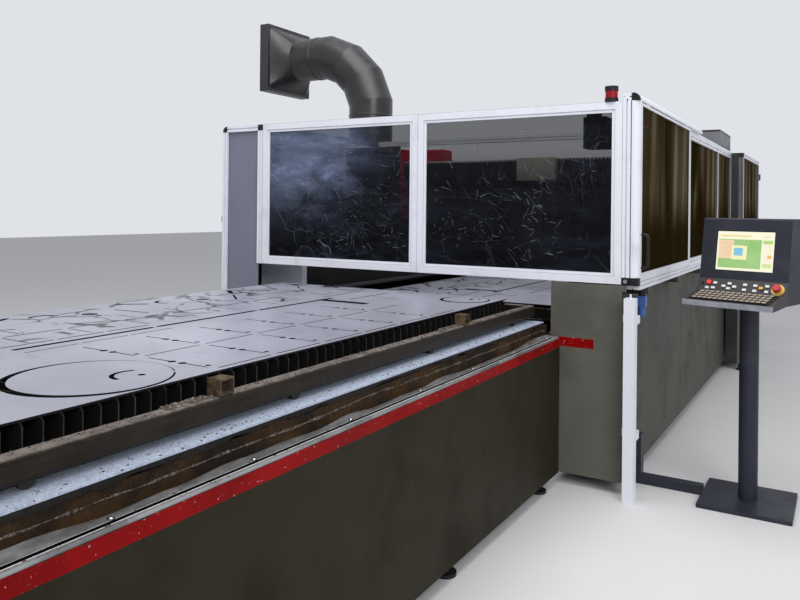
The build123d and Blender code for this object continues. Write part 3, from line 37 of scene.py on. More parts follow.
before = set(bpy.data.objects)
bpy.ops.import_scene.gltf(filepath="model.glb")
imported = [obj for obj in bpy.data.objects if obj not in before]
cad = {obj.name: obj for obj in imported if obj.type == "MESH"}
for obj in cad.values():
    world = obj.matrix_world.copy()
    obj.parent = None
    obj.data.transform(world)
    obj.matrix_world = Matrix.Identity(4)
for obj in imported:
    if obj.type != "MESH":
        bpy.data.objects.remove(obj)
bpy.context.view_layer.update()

# The machine's centre line, window plane and the enclosure's middle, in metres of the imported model's frame
CENTRE_X = 0.0924625
WINDOW_Y = -0.852
MIDDLE_Y = 2.5

# The two front windows: their spans, heights, frame width, bead, joint lines and gasket, in metres
WINDOW_SPANS = ((-1.060, 0.139), (0.139, 1.338))
SILL_HEIGHT = 1.071
HEAD_HEIGHT = 2.007
FRAME_WIDTH = 0.055
BEAD_LINE = 0.040
BEAD_HALF = 0.0011
SEAM_HALF = 0.0009
GASKET = 0.005
GASKET_PROUD = 0.0015

# Fittings of the enclosure: where the door's handle starts and how high the box's lid sits
HANDLE_X = 1.4248
LID_HEIGHT = HEAD_HEIGHT + 0.124
LID_SEAM = 0.004

# The middle of the haze on the left front pane and where it ends at the right, then the heights between which
# the front panes clear and the side panes' curtain brightens, in metres
HAZE_X = -0.74
HAZE_HEIGHT = 1.83
HAZE_END = (-0.05, 0.30)
CLEAR_HEIGHTS = (1.50, 1.80)
CURTAIN_HEIGHTS = (1.30, 1.62)

# Scratches on the front panes, in the machine's own millimetres: how far the panes lie behind the window
# plane, then the spans and heights over which the scratches start
PANE_DEPTH = 11.3
SCRATCH_SPANS = (("left", (-935, 14), (-640, 35)), ("right", (264, 1212), (245, 1000)))
SCRATCH_HEIGHTS = (1196, 1882)
WIPE_HEIGHTS = (1175, 1560)
SCRATCH_RADIUS = 0.130
SCRATCH_THICK = 0.00045

# Bellows: pitch of the folds and the height above which their tips are pale, in metres
FOLD_PITCH = 0.028
FOLD_TIPS = 1.829

# Red band on the station's skirts and on the right base cover: its heights, how far out the skirts' band
# starts, and the cover's two X and its rear end, in metres
SKIRT_BAND = (0.725, 0.773)
SKIRT_START = 0.9
COVER_BAND = (0.727, 0.779)
COVER_SPAN = (1.0, 1.2)
COVER_REAR = 0.05

# Base covers of other colours: X of their inner edge, then the top of the blue-grey and the foot of the beige
BLUE_COVER = (-0.9, 1.075)
BEIGE_BOX = (-1.2, 1.444)

# Half widths of the base's inside, painted black as shade with soot, below and above the height where it
# widens, in metres
BASE_INSIDE = (0.99, 1.34)
BASE_STEP = 1.02

# Where the tracks turn dark with painted shade along Y, and where the sheet's dark cut outlines end along X,
# in metres
TRACK_SHADE = (-0.12, 0.10)
OUTLINE_END = (-0.16, -0.10)

# Middle and half width of the slot in the station's edge profile, half its lip and its depth, in metres
SLOT_MIDDLE = 1.0
SLOT_HALF = 0.007
SLOT_LIP = 0.0018
SLOT_DEPTH = 0.012

# Heights and ends of the load station in the machine's own millimetres
PROFILE_TOP = 777.0
TRACK_TOP = 868.0
TRAY_WALL = 966.0
TRAY_FLOOR = 566.0
BEAD_HEIGHT = 816.0
STATION_Y = (-3350.0, -15.0)
BEAM_TOP = 945.0
STOP_Y = (-920.0, -2383.0)
SCREW_X = 986.5
SCREW_COUNT = 8
SIDES = ((-1, "left"), (1, "right"))

# Where slag and torn scale lie, in millimetres off the centre line: ledges with their heights, the tray's
# floor, the running strip's outer edge, the pallet's side beam and the heaps on it
LEDGES = ((922, 976, TRACK_TOP), (982, 992, PROFILE_TOP), (1008, 1018, PROFILE_TOP))
FLOOR_SPAN = (30, 955)
STRIP_EDGE = 978.0
BEAM_SPAN = (878, 908)
HEAP_SPAN = (870, 900)

# Distances from the centre line between which a slat's burnt flank turns into its raw end, in metres
SLAT_END = (0.7742, 0.7749)

# Where the console stands and how it is turned
CONSOLE_PLACE = (1.910, 0.248)
CONSOLE_TURN = math.radians(-16.4)

# In the console's own axes: ends of the selector and the yellow ring, the deck's front edge and heights, the
# button panel's depths and foot, a point of the keys' plane, the sine and cosine of its tilt, and the height
# that the dark gaps between the keys reach over it
SELECTOR_END = -0.178
RING_START = 0.140
DECK_EDGE = -0.2725
DECK_HEIGHTS = (0.985, 1.05)
PANEL_DEPTHS = (-0.275, -0.0905)
PANEL_FOOT = 1.0
KEY_PLACE = (-0.130, 1.053)
KEY_SINE, KEY_COSINE = 0.2535, 0.9673
KEY_GAP = 0.0085

# The console's screen in the console's own axes, and its plain fields: left, right, foot, top and colour
SCREEN_SPAN = (-0.137, 0.137)
SCREEN_HEIGHTS = (1.158, 1.3494)
SCREEN_FIELDS = (
    (0.05, 0.60, 0.86, 0.91, (0.86, 0.72, 0.34)),
    (0.82, 0.94, 0.86, 0.90, (0.92, 0.74, 0.40)),
    (0.03, 0.79, 0.06, 0.80, (0.30, 0.56, 0.17)),
    (0.03, 0.30, 0.30, 0.78, (0.88, 0.66, 0.42)),
    (0.27, 0.54, 0.28, 0.64, (0.92, 0.89, 0.46)),
    (0.31, 0.47, 0.38, 0.58, (0.20, 0.52, 0.78)),
    (0.81, 0.98, 0.70, 0.79, (0.42, 0.72, 0.20)),
    (0.90, 0.97, 0.34, 0.42, (0.88, 0.46, 0.10)),
    (0.82, 0.98, 0.10, 0.20, (0.62, 0.84, 0.34)),
)

# Ruled fields of the screen: left, right, foot, top and the share of each row that is drawn
SCREEN_ROWS = ((0.83, 0.97, 0.08, 0.78, 0.30), (0.06, 0.26, 0.34, 0.72, 0.35))

# The photograph's camera: its place in the machine's own millimetres, its turn, roll and lens
CAMERA_PLACE = (2328, -3860, 1442)
CAMERA_TURN = 30.86
CAMERA_ROLL = 0.57
CAMERA_LENS = 33.75
CAMERA_SHIFT = -0.113


def place(x, y, z):
    """Point of the machine, from millimetres off its centre line, its window plane and the floor."""
    return Vector((CENTRE_X + x / 1000, WINDOW_Y + y / 1000, z / 1000))


def shaded(color, share):
    """The colour, darkened to a share of itself."""
    return tuple(value * share for value in color)


# Shader maths


def maths(operation, reflected=False):
    """Python operator that adds one Math node."""

    def act(self, other):
        values = (other, self) if reflected else (self, other)
        return self.finish.node("ShaderNodeMath", {"operation": operation}, *values)

    return act


class Wire:
    """A shader value that takes part in Python expressions."""

    def __init__(self, finish, socket):
        self.finish = finish
        self.socket = socket

    __add__ = maths("ADD")
    __radd__ = maths("ADD", True)
    __sub__ = maths("SUBTRACT")
    __rsub__ = maths("SUBTRACT", True)
    __mul__ = maths("MULTIPLY")
    __rmul__ = maths("MULTIPLY", True)
    __truediv__ = maths("DIVIDE")
    __gt__ = maths("GREATER_THAN")
    __lt__ = maths("LESS_THAN")
    most = maths("MAXIMUM")
    least = maths("MINIMUM")

    def alone(self, operation):
        return self.finish.node("ShaderNodeMath", {"operation": operation}, self)

    def size(self):
        return self.alone("ABSOLUTE")

    def clip(self):
        return self.finish.node("ShaderNodeClamp", {}, self)

    def step(self, low, high):
        """0 below low, 1 above high and a smooth run between them."""
        settings = {"interpolation_type": "SMOOTHSTEP"}
        return self.finish.node("ShaderNodeMapRange", settings, self, low, high, 0.0, 1.0)


def brightest(masks):
    """The highest of several masks at each point."""
    result = masks[0]
    for mask in masks[1:]:
        result = result.most(mask)
    return result


def within(across, up, left, right, foot, top):
    """Mask of a rectangle."""
    return (across > left) * (across < right) * (up > foot) * (up < top)


class Finish:
    """One material while it is built: its principled shader and the nodes that feed it."""

    def __init__(self, name, color, roughness=0.5, **constants):
        self.material = bpy.data.materials.new(name)
        self.material.use_nodes = True
        self.tree = self.material.node_tree
        self.shader = self.tree.nodes["Principled BSDF"]
        self.shade = color
        self.set("Base Color", color)
        self.set("Roughness", roughness)
        self.set("Specular IOR Level", 0.22)
        for label, value in constants.items():
            self.set(label.replace("_", " "), value)
        coordinates = self.tree.nodes.new("ShaderNodeTexCoord")
        self.point = Wire(self, coordinates.outputs["Object"])

    def plug(self, socket, value):
        if isinstance(value, Wire):
            self.tree.links.new(value.socket, socket)
        elif isinstance(value, tuple) and socket.type == "RGBA":
            socket.default_value = (*value, 1)
        else:
            socket.default_value = value

    def node(self, kind, settings, *values, output=0, **named):
        """Add a node: its settings first, then the values or links of its sockets, then take one output."""
        node = self.tree.nodes.new(kind)
        for label, value in settings.items():
            setattr(node, label, value)
        sockets = [socket for socket in node.inputs if socket.enabled]
        for socket, value in zip(sockets, values):
            self.plug(socket, value)
        for label, value in named.items():
            self.plug(node.inputs[label], value)
        return Wire(self, node.outputs[output])

    def parts(self, vector):
        """The X, Y and Z of a vector."""
        node = self.node("ShaderNodeSeparateXYZ", {}, vector).socket.node
        return [Wire(self, socket) for socket in node.outputs]

    def axes(self):
        """The X, Y and Z of the surface point in metres, counted from the machine's own planes."""
        x, y, z = self.parts(self.point)
        return x - CENTRE_X, y - WINDOW_Y, z

    def facing(self):
        """How much the surface faces X, Y and Z."""
        return self.parts(self.node("ShaderNodeNewGeometry", {}, output="Normal"))

    def outward(self):
        """Above 0 where the surface faces away from the enclosure's middle, below 0 where it faces it."""
        x, y, z = self.axes()
        nx, ny, nz = self.facing()
        return nx * x + ny * (y - MIDDLE_Y)

    def stretched(self, x, y, z):
        return self.node("ShaderNodeMapping", {}, self.point, Scale=(x, y, z))

    def moved(self, x, y, z):
        """The surface point, shifted by values that vary."""
        shift = self.node("ShaderNodeCombineXYZ", {}, x, y, z)
        return self.node("ShaderNodeVectorMath", {"operation": "ADD"}, self.point, shift)

    def noise(self, scale, detail=4.0, roughness=0.55, vector=None, distortion=0.0):
        return self.node("ShaderNodeTexNoise", {}, output="Fac", Vector=vector or self.point, Scale=scale,
                         Detail=detail, Roughness=roughness, Distortion=distortion)

    def dirt(self, scale=3.0, low=0.45, high=0.75):
        """Patchy grime."""
        return self.noise(scale, 6.0, 0.65).step(low, high)

    def scratches(self, along, amount):
        """Thin scratches that run along one direction."""
        return self.noise(9.0, 3.0, 0.6, self.stretched(*along)).step(amount, amount + 0.05)

    def cells(self, scale, vector=None, feature="F1", output="Distance"):
        return self.node("ShaderNodeTexVoronoi", {"feature": feature}, output=output,
                         Vector=vector or self.point, Scale=scale)

    def mix(self, factor, low, high):
        node = self.tree.nodes.new("ShaderNodeMix")
        node.data_type = "RGBA"
        self.plug(node.inputs[0], factor)
        self.plug(node.inputs[6], low)
        self.plug(node.inputs[7], high)
        return Wire(self, node.outputs[2])

    def over(self, mask, color):
        """Lay a colour over what the finish shows so far, as far as the mask says."""
        self.shade = self.mix(mask, self.shade, color)
        self.set("Base Color", self.shade)

    def set(self, label, value):
        self.plug(self.shader.inputs[label], value)

    def bump(self, height, strength=0.3, distance=0.001):
        bump = self.node("ShaderNodeBump", {}, output="Normal", Strength=strength, Distance=distance,
                         Height=height)
        self.set("Normal", bump)
        return self


# Finishes


def painted(name, color, roughness=0.4):
    """Painted metal with a fine orange-peel surface, soft grime and a few scuffs."""
    grime = (0.05, 0.05, 0.045)
    finish = Finish(name, color, roughness)
    patches = finish.dirt(2.6) * 0.5
    spots = finish.noise(38.0, 5.0, 0.6).step(0.62, 0.72) * 0.5
    scuffs = finish.scratches((3.0, 60.0, 8.0), 0.68)
    finish.over(patches * 0.55, grime)
    finish.over(spots * 0.35, grime)
    finish.over(scuffs * 0.25, tuple(min(1.0, value * 1.6 + 0.06) for value in color))
    finish.set("Roughness", (roughness + patches * 0.25 - scuffs * 0.1).clip())
    return finish.bump(finish.noise(700.0, 2.0) + scuffs * 0.4, 0.12, 0.0006)


def panel_paint():
    """Slate grey panel, plain outside, with painted shade mottled by soot on the side facing the cutting
    space.
    """
    finish = Finish("panel_grey", (0.210, 0.218, 0.285), 0.42)
    # Painted shade: faces turned towards the enclosure's middle get a near-black colour, mottled with soot
    inward_shade = finish.outward() < 0.0
    smears = finish.noise(2.4, 6.0, 0.65, finish.stretched(1.0, 1.0, 0.35)).step(0.45, 0.80)
    soot = finish.dirt(4.0, 0.30, 0.75)
    finish.over(smears * 0.35, (0.085, 0.088, 0.10))
    finish.over(inward_shade, finish.mix(soot, (0.022, 0.022, 0.023), (0.050, 0.048, 0.046)))
    finish.set("Roughness", 0.38 + smears * 0.15 + inward_shade * 0.3)
    return finish.bump(finish.noise(520.0, 2.0), 0.12, 0.0006)


def box_paint():
    """Grey electrical box: its lid a darker shade, with a dark seam under the lid's rim."""
    finish = Finish("box_grey", (0.17, 0.175, 0.19), 0.45)
    z = finish.axes()[2]
    seam = (z > (LID_HEIGHT - LID_SEAM)) * (z < LID_HEIGHT)
    grime = finish.dirt(7.0)
    finish.over(grime * 0.5, (0.09, 0.09, 0.092))
    finish.over(z > LID_HEIGHT, (0.035, 0.036, 0.038))
    finish.over(seam, (0.01, 0.01, 0.01))
    finish.set("Roughness", 0.42 + grime * 0.2)
    return finish.bump(finish.noise(640.0, 2.0) - seam * 6.0, 0.12, 0.0008)


def seams(x, z):
    """Joints of the two front window frames, as a mask of fine lines: mitres, bead lines and outer edges."""
    masks = []
    for left, right in WINDOW_SPANS:
        for across in (x - left, right - x):
            for up in (z - SILL_HEIGHT, HEAD_HEIGHT - z):
                near = within(across, up, 0.0, FRAME_WIDTH, 0.0, FRAME_WIDTH)
                masks.append(((across - up).size() < SEAM_HALF) * near * 0.4)
        edge = (x - left).least(right - x).least((z - SILL_HEIGHT).least(HEAD_HEIGHT - z))
        masks.append(((edge - BEAD_LINE).size() < BEAD_HALF) * 0.7)
        masks.append((edge.size() < SEAM_HALF) * (z > SILL_HEIGHT) * (z < HEAD_HEIGHT))
    return brightest(masks)


def white_anodised(grip=False):
    """White lacquered profile, grey smudges, painted shade and soot inwards; with grip, the door's black
    handle too.
    """
    clean = tuple(looks().frame_color)
    finish = Finish("door_profile" if grip else "white_profile", clean, 0.38, Coat_Weight=0.15,
                    Coat_Roughness=0.25)
    x, y, z = finish.axes()
    ny = finish.facing()[1]
    # Painted shade with soot: profiles facing the inside of the enclosure are darkened to near black
    inward_shade = (finish.outward() < -0.2) * (y > 0.05)
    smears = finish.dirt(4.5, 0.5, 0.8)
    drips = finish.noise(3.0, 6.0, 0.65, finish.stretched(6.0, 1.0, 1.0)).step(0.58, 0.78)
    finish.over(smears * 0.45, shaded(clean, 0.58))
    finish.over(drips * 0.3, (0.40, 0.39, 0.42))
    finish.over(finish.noise(160.0, 3.0, 0.6).step(0.6, 0.75) * 0.2, (0.38, 0.37, 0.38))
    finish.over(seams(x, z) * (ny < -0.8), (0.16, 0.16, 0.17))
    finish.over(inward_shade * 0.9, (0.055, 0.055, 0.057))
    if grip:
        finish.over(x > HANDLE_X, (0.012, 0.012, 0.013))
    finish.set("Roughness", 0.34 + smears * 0.2 + inward_shade * 0.3)
    return finish.bump(finish.noise(2.0, 2.0, 0.5, finish.stretched(400.0, 3.0, 400.0)), 0.06, 0.0004)


def bare_aluminium():
    """Mill-finish profile with dust and metal fines lying in it; painted shade in its slot, painted
    highlights on its lips.
    """
    finish = Finish("mill_aluminium", (0.40, 0.41, 0.43), 0.42)
    x, y, z = finish.axes()
    top = finish.facing()[2].clip()
    dust = finish.noise(55.0, 8.0, 0.7).step(0.42, 0.62) * top
    across = x.size() - SLOT_MIDDLE
    profile_top = PROFILE_TOP / 1000
    # Painted shade: the inside of the slot is painted near black
    slot = (across.size() < SLOT_HALF) * (z < (profile_top - 0.0006)) * (z > (profile_top - SLOT_DEPTH))
    # Painted highlight: near-white lines along the tops of the slot's two lips
    lip = ((across.size() - SLOT_HALF - SLOT_LIP).size() < SLOT_LIP) * top
    finish.over(finish.noise(7.0).step(0.4, 0.7), (0.20, 0.20, 0.21))
    finish.over(dust * 0.8, (0.13, 0.12, 0.11))
    finish.over(lip * (1 - dust * 0.5), (0.86, 0.87, 0.88))
    finish.over(slot, (0.004, 0.004, 0.004))
    finish.set("Metallic", (0.7 - dust * 0.6 - slot - lip * 0.4).clip())
    finish.set("Roughness", 0.36 + dust * 0.45)
    return finish.bump(finish.noise(420.0, 5.0), 0.25, 0.0015)


def galvanised():
    """Galvanised plate: pale blue-grey with fine speckle and dust, turned dark by painted shade inside the
    machine.
    """
    finish = Finish("galvanised_plate", (0.40, 0.46, 0.58), 0.5, Metallic=0.35)
    y = finish.axes()[1]
    spangle = finish.parts(finish.cells(130.0, output="Color"))[0]
    speckle = finish.noise(420.0, 4.0, 0.7).step(0.45, 0.62)
    rust = finish.noise(16.0, 7.0, 0.7).step(0.60, 0.72)
    finish.over(spangle, (0.58, 0.65, 0.78))
    finish.over(speckle * 0.45, (0.22, 0.26, 0.33))
    finish.over(rust * 0.45, (0.12, 0.10, 0.09))
    # Painted shade: the tracks turn near black where they run into the machine
    finish.over(y.step(*TRACK_SHADE) * 0.93, (0.012, 0.011, 0.010))
    finish.set("Roughness", 0.42 + speckle * 0.3)
    return finish.bump(speckle + rust * 2.0, 0.3, 0.001)


def rusty_steel(name, dark, light, pale, amount=0.5):
    """Heat-scaled steel with rust bloom and pale slag dust."""
    finish = Finish(name, dark, 0.75, Metallic=0.1)
    fine = finish.noise(90.0, 6.0, 0.7).step(0.45, 0.7)
    dust = finish.noise(210.0, 4.0, 0.65).step(0.62, 0.72) * finish.noise(8.0, 5.0).step(0.45, 0.65)
    finish.over(finish.noise(5.0, 7.0, 0.62).step(0.35, 0.7) * 0.8, light)
    finish.over(fine * 0.35, shaded(dark, 0.4))
    finish.over(dust * amount, pale)
    finish.set("Roughness", 0.62 + fine * 0.3)
    return finish.bump(finish.noise(60.0, 8.0, 0.7) + dust, 0.6, 0.003)


def pallet_beam():
    """Worn steel tube: brown-grey sides, a dusty top made lighter by painted light, rusty stops standing on
    it.
    """
    finish = Finish("pallet_beam_steel", (0.013, 0.010, 0.007), 0.42)
    z = finish.axes()[2]
    nz = finish.facing()[2]
    drawn = finish.noise(3.0, 6.0, 0.65, finish.stretched(30.0, 1.2, 30.0)).step(0.35, 0.72)
    dust = finish.noise(26.0, 8.0, 0.72).step(0.38, 0.60) * nz.step(0.45, 0.98)
    above = z > (BEAM_TOP / 1000 + 0.0008)
    rust = finish.noise(42.0, 6.0, 0.7).step(0.35, 0.65)
    drawn = drawn * 0.6 + finish.dirt(11.0, 0.3, 0.7) * 0.4
    finish.over(drawn, (0.040, 0.031, 0.023))
    finish.over(finish.noise(7.0, 7.0, 0.7).step(0.55, 0.75) * 0.5, (0.010, 0.008, 0.006))
    # Painted light: faces that turn upwards, the rounded top edge among them, are made lighter
    finish.over(nz.step(0.60, 0.97) * 0.4, (0.15, 0.130, 0.115))
    finish.over(dust * 0.6, (0.26, 0.215, 0.19))
    finish.over(above, finish.mix(rust, (0.030, 0.018, 0.010), (0.130, 0.085, 0.052)))
    finish.set("Metallic", (0.5 - dust * 0.4 - above).clip())
    finish.set("Roughness", 0.36 + drawn * 0.14 + dust * 0.4 + above * 0.3)
    return finish.bump(drawn * 0.4 + dust + finish.noise(380.0, 3.0) * 0.3 + rust * above, 0.25, 0.0015)


def slat_steel():
    """Burnt slat, darkened nearly black by painted shade under the sheet, its raw ends a little lighter."""
    # Painted shade: the burnt steel is darkened to nearly black for the shade under the sheet
    finish = Finish("burnt_slat_steel", (0.006, 0.0055, 0.005), 0.8, Metallic=0.2)
    end = finish.axes()[0].size().step(*SLAT_END)
    finish.over(finish.noise(120.0, 6.0, 0.7).step(0.58, 0.7) * 0.4, (0.045, 0.038, 0.03))
    finish.over(end * finish.noise(9.0, 3.0).step(0.35, 0.65), (0.065, 0.06, 0.056))
    return finish.bump(finish.noise(90.0, 6.0), 0.5, 0.002)


def sheet_steel():
    """Mill sheet after cutting: lavender-grey, matt sheen, stains, dark dust blown round the cuts."""
    finish = Finish("cut_sheet_steel", (0.31, 0.315, 0.38), 0.42, Metallic=0.3)
    x = finish.axes()[0]
    nz = finish.facing()[2]
    stains = finish.noise(5.0, 7.0, 0.7, distortion=0.8).step(0.56, 0.78)
    rolled = finish.noise(4.0, 5.0, 0.6, finish.stretched(60.0, 1.0, 1.0)).step(0.45, 0.7)
    grains = finish.noise(260.0, 5.0, 0.7).step(0.60, 0.70)
    drops = (1 - finish.cells(19.0).step(0.05, 0.10)) * finish.noise(2.7, 3.0).step(0.45, 0.6)
    bent = finish.moved(finish.noise(3.0, 2.0) * 0.3, finish.noise(4.0, 2.0) * 0.3, 0.0)
    outline = 1 - finish.cells(5.0, bent, "DISTANCE_TO_EDGE").step(0.03, 0.05)
    outline = outline * finish.noise(3.2, 2.0).step(0.46, 0.54)
    far_half = (1 - x.step(*OUTLINE_END)) * nz.step(0.9, 0.99)
    smut = (1 - finish.cells(3.0).step(0.0, 0.22)) * finish.noise(14.0, 6.0, 0.7).step(0.40, 0.62)
    finish.over(finish.noise(1.3, 5.0, 0.6).step(0.3, 0.75), (0.46, 0.465, 0.55))
    finish.over(rolled * 0.25, (0.25, 0.25, 0.31))
    finish.over(stains * 0.5, (0.15, 0.145, 0.155))
    finish.over(grains * 0.3, (0.10, 0.09, 0.09))
    finish.over(drops * 0.8, (0.05, 0.045, 0.045))
    finish.over(outline * far_half * 0.93, (0.012, 0.012, 0.013))
    finish.over(smut * 0.4, (0.10, 0.09, 0.085))
    finish.over(1 - nz.size().step(0.3, 0.8), (0.02, 0.02, 0.022))
    finish.set("Roughness", 0.36 + stains * 0.25 + grains * 0.2)
    return finish.bump(finish.noise(7.0, 4.0) + grains * 0.1, 0.15, 0.006)


def scratch_marks(finish):
    """Hairline scratches, wipe arcs and specks on a pane, as three masks."""
    bent = finish.noise(1.3, 3.0, 0.5)
    swirl = finish.moved(bent * 1.6, 0.0, bent * -1.2)
    lines = []
    for scale, width, place_scale in ((2.6, 0.0032, 2.3), (6.5, 0.0045, 3.1), (13.0, 0.006, 4.3)):
        edge = 1 - finish.cells(scale, swirl, "DISTANCE_TO_EDGE").step(0.0, width)
        lines.append(edge * finish.noise(place_scale, 3.0).step(0.50, 0.60))
    arcs = finish.node("ShaderNodeTexWave", {"wave_type": "RINGS", "rings_direction": "Y"}, output="Fac",
                       Vector=swirl, Scale=3.0, Distortion=6.0, Detail=3.0, **{"Detail Scale": 1.4})
    arcs = arcs.step(0.988, 0.999) * finish.noise(2.0, 3.0).step(0.52, 0.62)
    specks = finish.noise(300.0, 3.0, 0.6).step(0.71, 0.76) * finish.noise(4.0, 3.0).step(0.45, 0.6)
    return brightest(lines), arcs, specks


def front_glass():
    """Tinted front pane: nearly black from outside, a little clearer near its top, with a blue-grey haze."""
    finish = Finish("front_tinted_glass", (0.0045, 0.005, 0.0065), 0.05, Specular_IOR_Level=0.16, IOR=1.25)
    x, y, z = finish.axes()
    lines, arcs, specks = scratch_marks(finish)
    across, up = (x - HAZE_X) * 0.80, (z - HAZE_HEIGHT) * 1.05
    far = (across * across + up * up).alone("SQRT")
    slanted = finish.node("ShaderNodeMapping", {}, finish.point, Rotation=(0.0, 0.55, 0.0),
                          Scale=(1.0, 1.0, 2.6))
    cloud = (1 - far.step(0.08, 0.62)) * finish.noise(1.9, 5.0, 0.60, slanted, 0.35).step(0.30, 0.62)
    wisps = finish.noise(5.0, 6.0, 0.68, slanted, 0.8).step(0.48, 0.74)
    film = finish.noise(2.2, 5.0, 0.6, finish.stretched(1.0, 1.0, 3.0), 0.6).step(0.40, 0.80)
    left = 1 - x.step(*HAZE_END)
    haze = (cloud * (0.62 + wisps * 0.38) + wisps * 0.07 * (0.3 + left * 0.7) + film * 0.04).clip()
    marks = (lines * 0.45 + arcs * 0.18 + specks * 0.35).clip()
    dark = 1 - z.step(*CLEAR_HEIGHTS)
    finish.over(haze, (0.240, 0.290, 0.450))
    finish.over(marks, (0.26, 0.28, 0.33))
    finish.set("Alpha", (0.56 + dark * 0.24 + haze * 0.36 + marks * 0.25).clip())
    finish.set("Roughness", 0.06 + haze * 0.5 + marks * 0.3)
    return finish


def side_glass():
    """Bronze pane of the operator side, with soft upright folds like a curtain drawn behind it."""
    finish = Finish("side_bronze_glass", (0.017, 0.011, 0.003), 0.12, Specular_IOR_Level=0.0)
    z = finish.axes()[2]
    lines, arcs, specks = scratch_marks(finish)
    cloth = finish.stretched(1.0, 1.0, 0.30)
    pleats = finish.node("ShaderNodeTexWave", {"bands_direction": "Y"}, output="Fac", Vector=cloth, Scale=1.1,
                         Distortion=6.0, Detail=2.0, **{"Detail Scale": 0.8, "Detail Roughness": 0.45})
    folds = finish.noise(1.6, 3.0, 0.5, cloth, 0.4).step(0.38, 0.66)
    upper = z.step(*CURTAIN_HEIGHTS)
    haze = ((pleats.step(0.30, 1.0) * 0.60 * folds + folds * 0.34) * (0.03 + upper * 0.80)).clip()
    marks = (lines * 0.35 + arcs * 0.25 + specks * 0.25).clip()
    finish.over(haze, (0.250, 0.205, 0.125))
    finish.over(marks * 0.6, (0.20, 0.17, 0.12))
    finish.set("Alpha", (0.985 + haze * 0.015).clip())
    finish.set("Roughness", 0.08 + haze * 0.4 + marks * 0.3)
    return finish


def hairline_finish():
    """Bright edge of a scratch in a pane."""
    finish = Finish("scratch_edge", (0.16, 0.17, 0.19), 0.4)
    faint = finish.noise(9.0, 4.0).step(0.30, 0.65)
    finish.over(faint, (0.62, 0.65, 0.72))
    finish.set("Alpha", 0.25 + faint * 0.5)
    return finish


def slag_finish():
    """Slag: brown-grey crumbs and beads, some of them bright."""
    finish = Finish("slag", (0.020, 0.013, 0.010), 0.42, Metallic=0.3)
    tone = finish.noise(150.0, 3.0, 0.6)
    bright = finish.noise(70.0, 3.0).step(0.60, 0.66)
    finish.over(tone.step(0.35, 0.65), (0.19, 0.145, 0.125))
    finish.over(bright * 0.45, (0.42, 0.37, 0.35))
    finish.set("Roughness", 0.5 - bright * 0.25)
    return finish.bump(tone, 0.4, 0.001)


def drift_finish():
    """Settled cutting dust, grey with darker ripples."""
    finish = Finish("cutting_dust", (0.105, 0.102, 0.098), 0.9)
    ripples = finish.noise(9.0, 6.0, 0.65, finish.stretched(3.0, 1.0, 3.0)).step(0.35, 0.7)
    grains = finish.noise(240.0, 4.0, 0.7)
    finish.over(ripples, (0.235, 0.235, 0.24))
    finish.over(grains.step(0.55, 0.7) * 0.5, (0.06, 0.055, 0.05))
    return finish.bump(grains + ripples * 0.6, 0.5, 0.002)


def black_plastic():
    """Matt black plastic or rubber with a little dust."""
    finish = Finish("black_plastic", (0.014, 0.014, 0.016), 0.45)
    finish.over(finish.dirt(14.0, 0.45, 0.8) * 0.2, (0.10, 0.10, 0.105))
    return finish.bump(finish.noise(900.0, 2.0), 0.2, 0.0004)


def duct_metal():
    """Black sheet metal duct with a soft sheen, grey dust on its upper side and dents in its surface."""
    finish = Finish("duct_black_metal", (0.010, 0.010, 0.011), 0.36, Specular_IOR_Level=0.55)
    dust = finish.facing()[2].step(0.1, 0.9) * finish.noise(12.0, 6.0).step(0.3, 0.8)
    finish.over(finish.noise(3.0, 5.0).step(0.4, 0.7) * 0.6, (0.035, 0.035, 0.037))
    finish.over(dust * 0.35, (0.11, 0.11, 0.11))
    finish.set("Roughness", 0.30 + dust * 0.35)
    return finish.bump(finish.noise(5.0, 3.0) + finish.noise(160.0, 3.0) * 0.08, 0.35, 0.006)


def bellows_cloth():
    """Black folded cloth with dust, its fold tips pale along the upper edge like a comb."""
    finish = Finish("bellows_cloth", (0.016, 0.016, 0.017), 0.6)
    x, y, z = finish.axes()
    dust = finish.dirt(22.0, 0.4, 0.75)
    part = (x / FOLD_PITCH).alone("FRACT")
    crease = (part > 0.45) * (part < 0.75)
    finish.over(dust * 0.35 + crease * 0.2, (0.12, 0.115, 0.11))
    finish.over((part < 0.36) * (z > FOLD_TIPS), (0.62, 0.60, 0.56))
    finish.set("Roughness", 0.45 + dust * 0.35)
    return finish.bump(finish.noise(1400.0, 2.0), 0.3, 0.0004)


def glowing(name, color, strength):
    """Lit plastic lens with a little dirt."""
    finish = Finish(name, color, 0.25, Emission_Strength=strength, Emission_Color=color)
    finish.over(finish.dirt(60.0, 0.5, 0.8) * 0.3, shaded(color, 0.5))
    return finish


def moulded(name, color):
    """Moulded plastic with worn patches."""
    finish = Finish(name, color, 0.4, Coat_Weight=0.3)
    wear = finish.dirt(40.0, 0.5, 0.8)
    finish.over(wear * 0.3, shaded(color, 0.55))
    finish.set("Roughness", 0.4 + wear * 0.2)
    return finish.bump(finish.noise(1200.0, 2.0), 0.15, 0.0003)


def console_axes(finish):
    """Across, depth and height in the console's own axes, in metres."""
    x, y, z = finish.axes()
    dx, dy = x - CONSOLE_PLACE[0], y - CONSOLE_PLACE[1]
    cosine, sine = math.cos(CONSOLE_TURN), math.sin(CONSOLE_TURN)
    return dx * cosine + dy * sine, dy * cosine - dx * sine, z


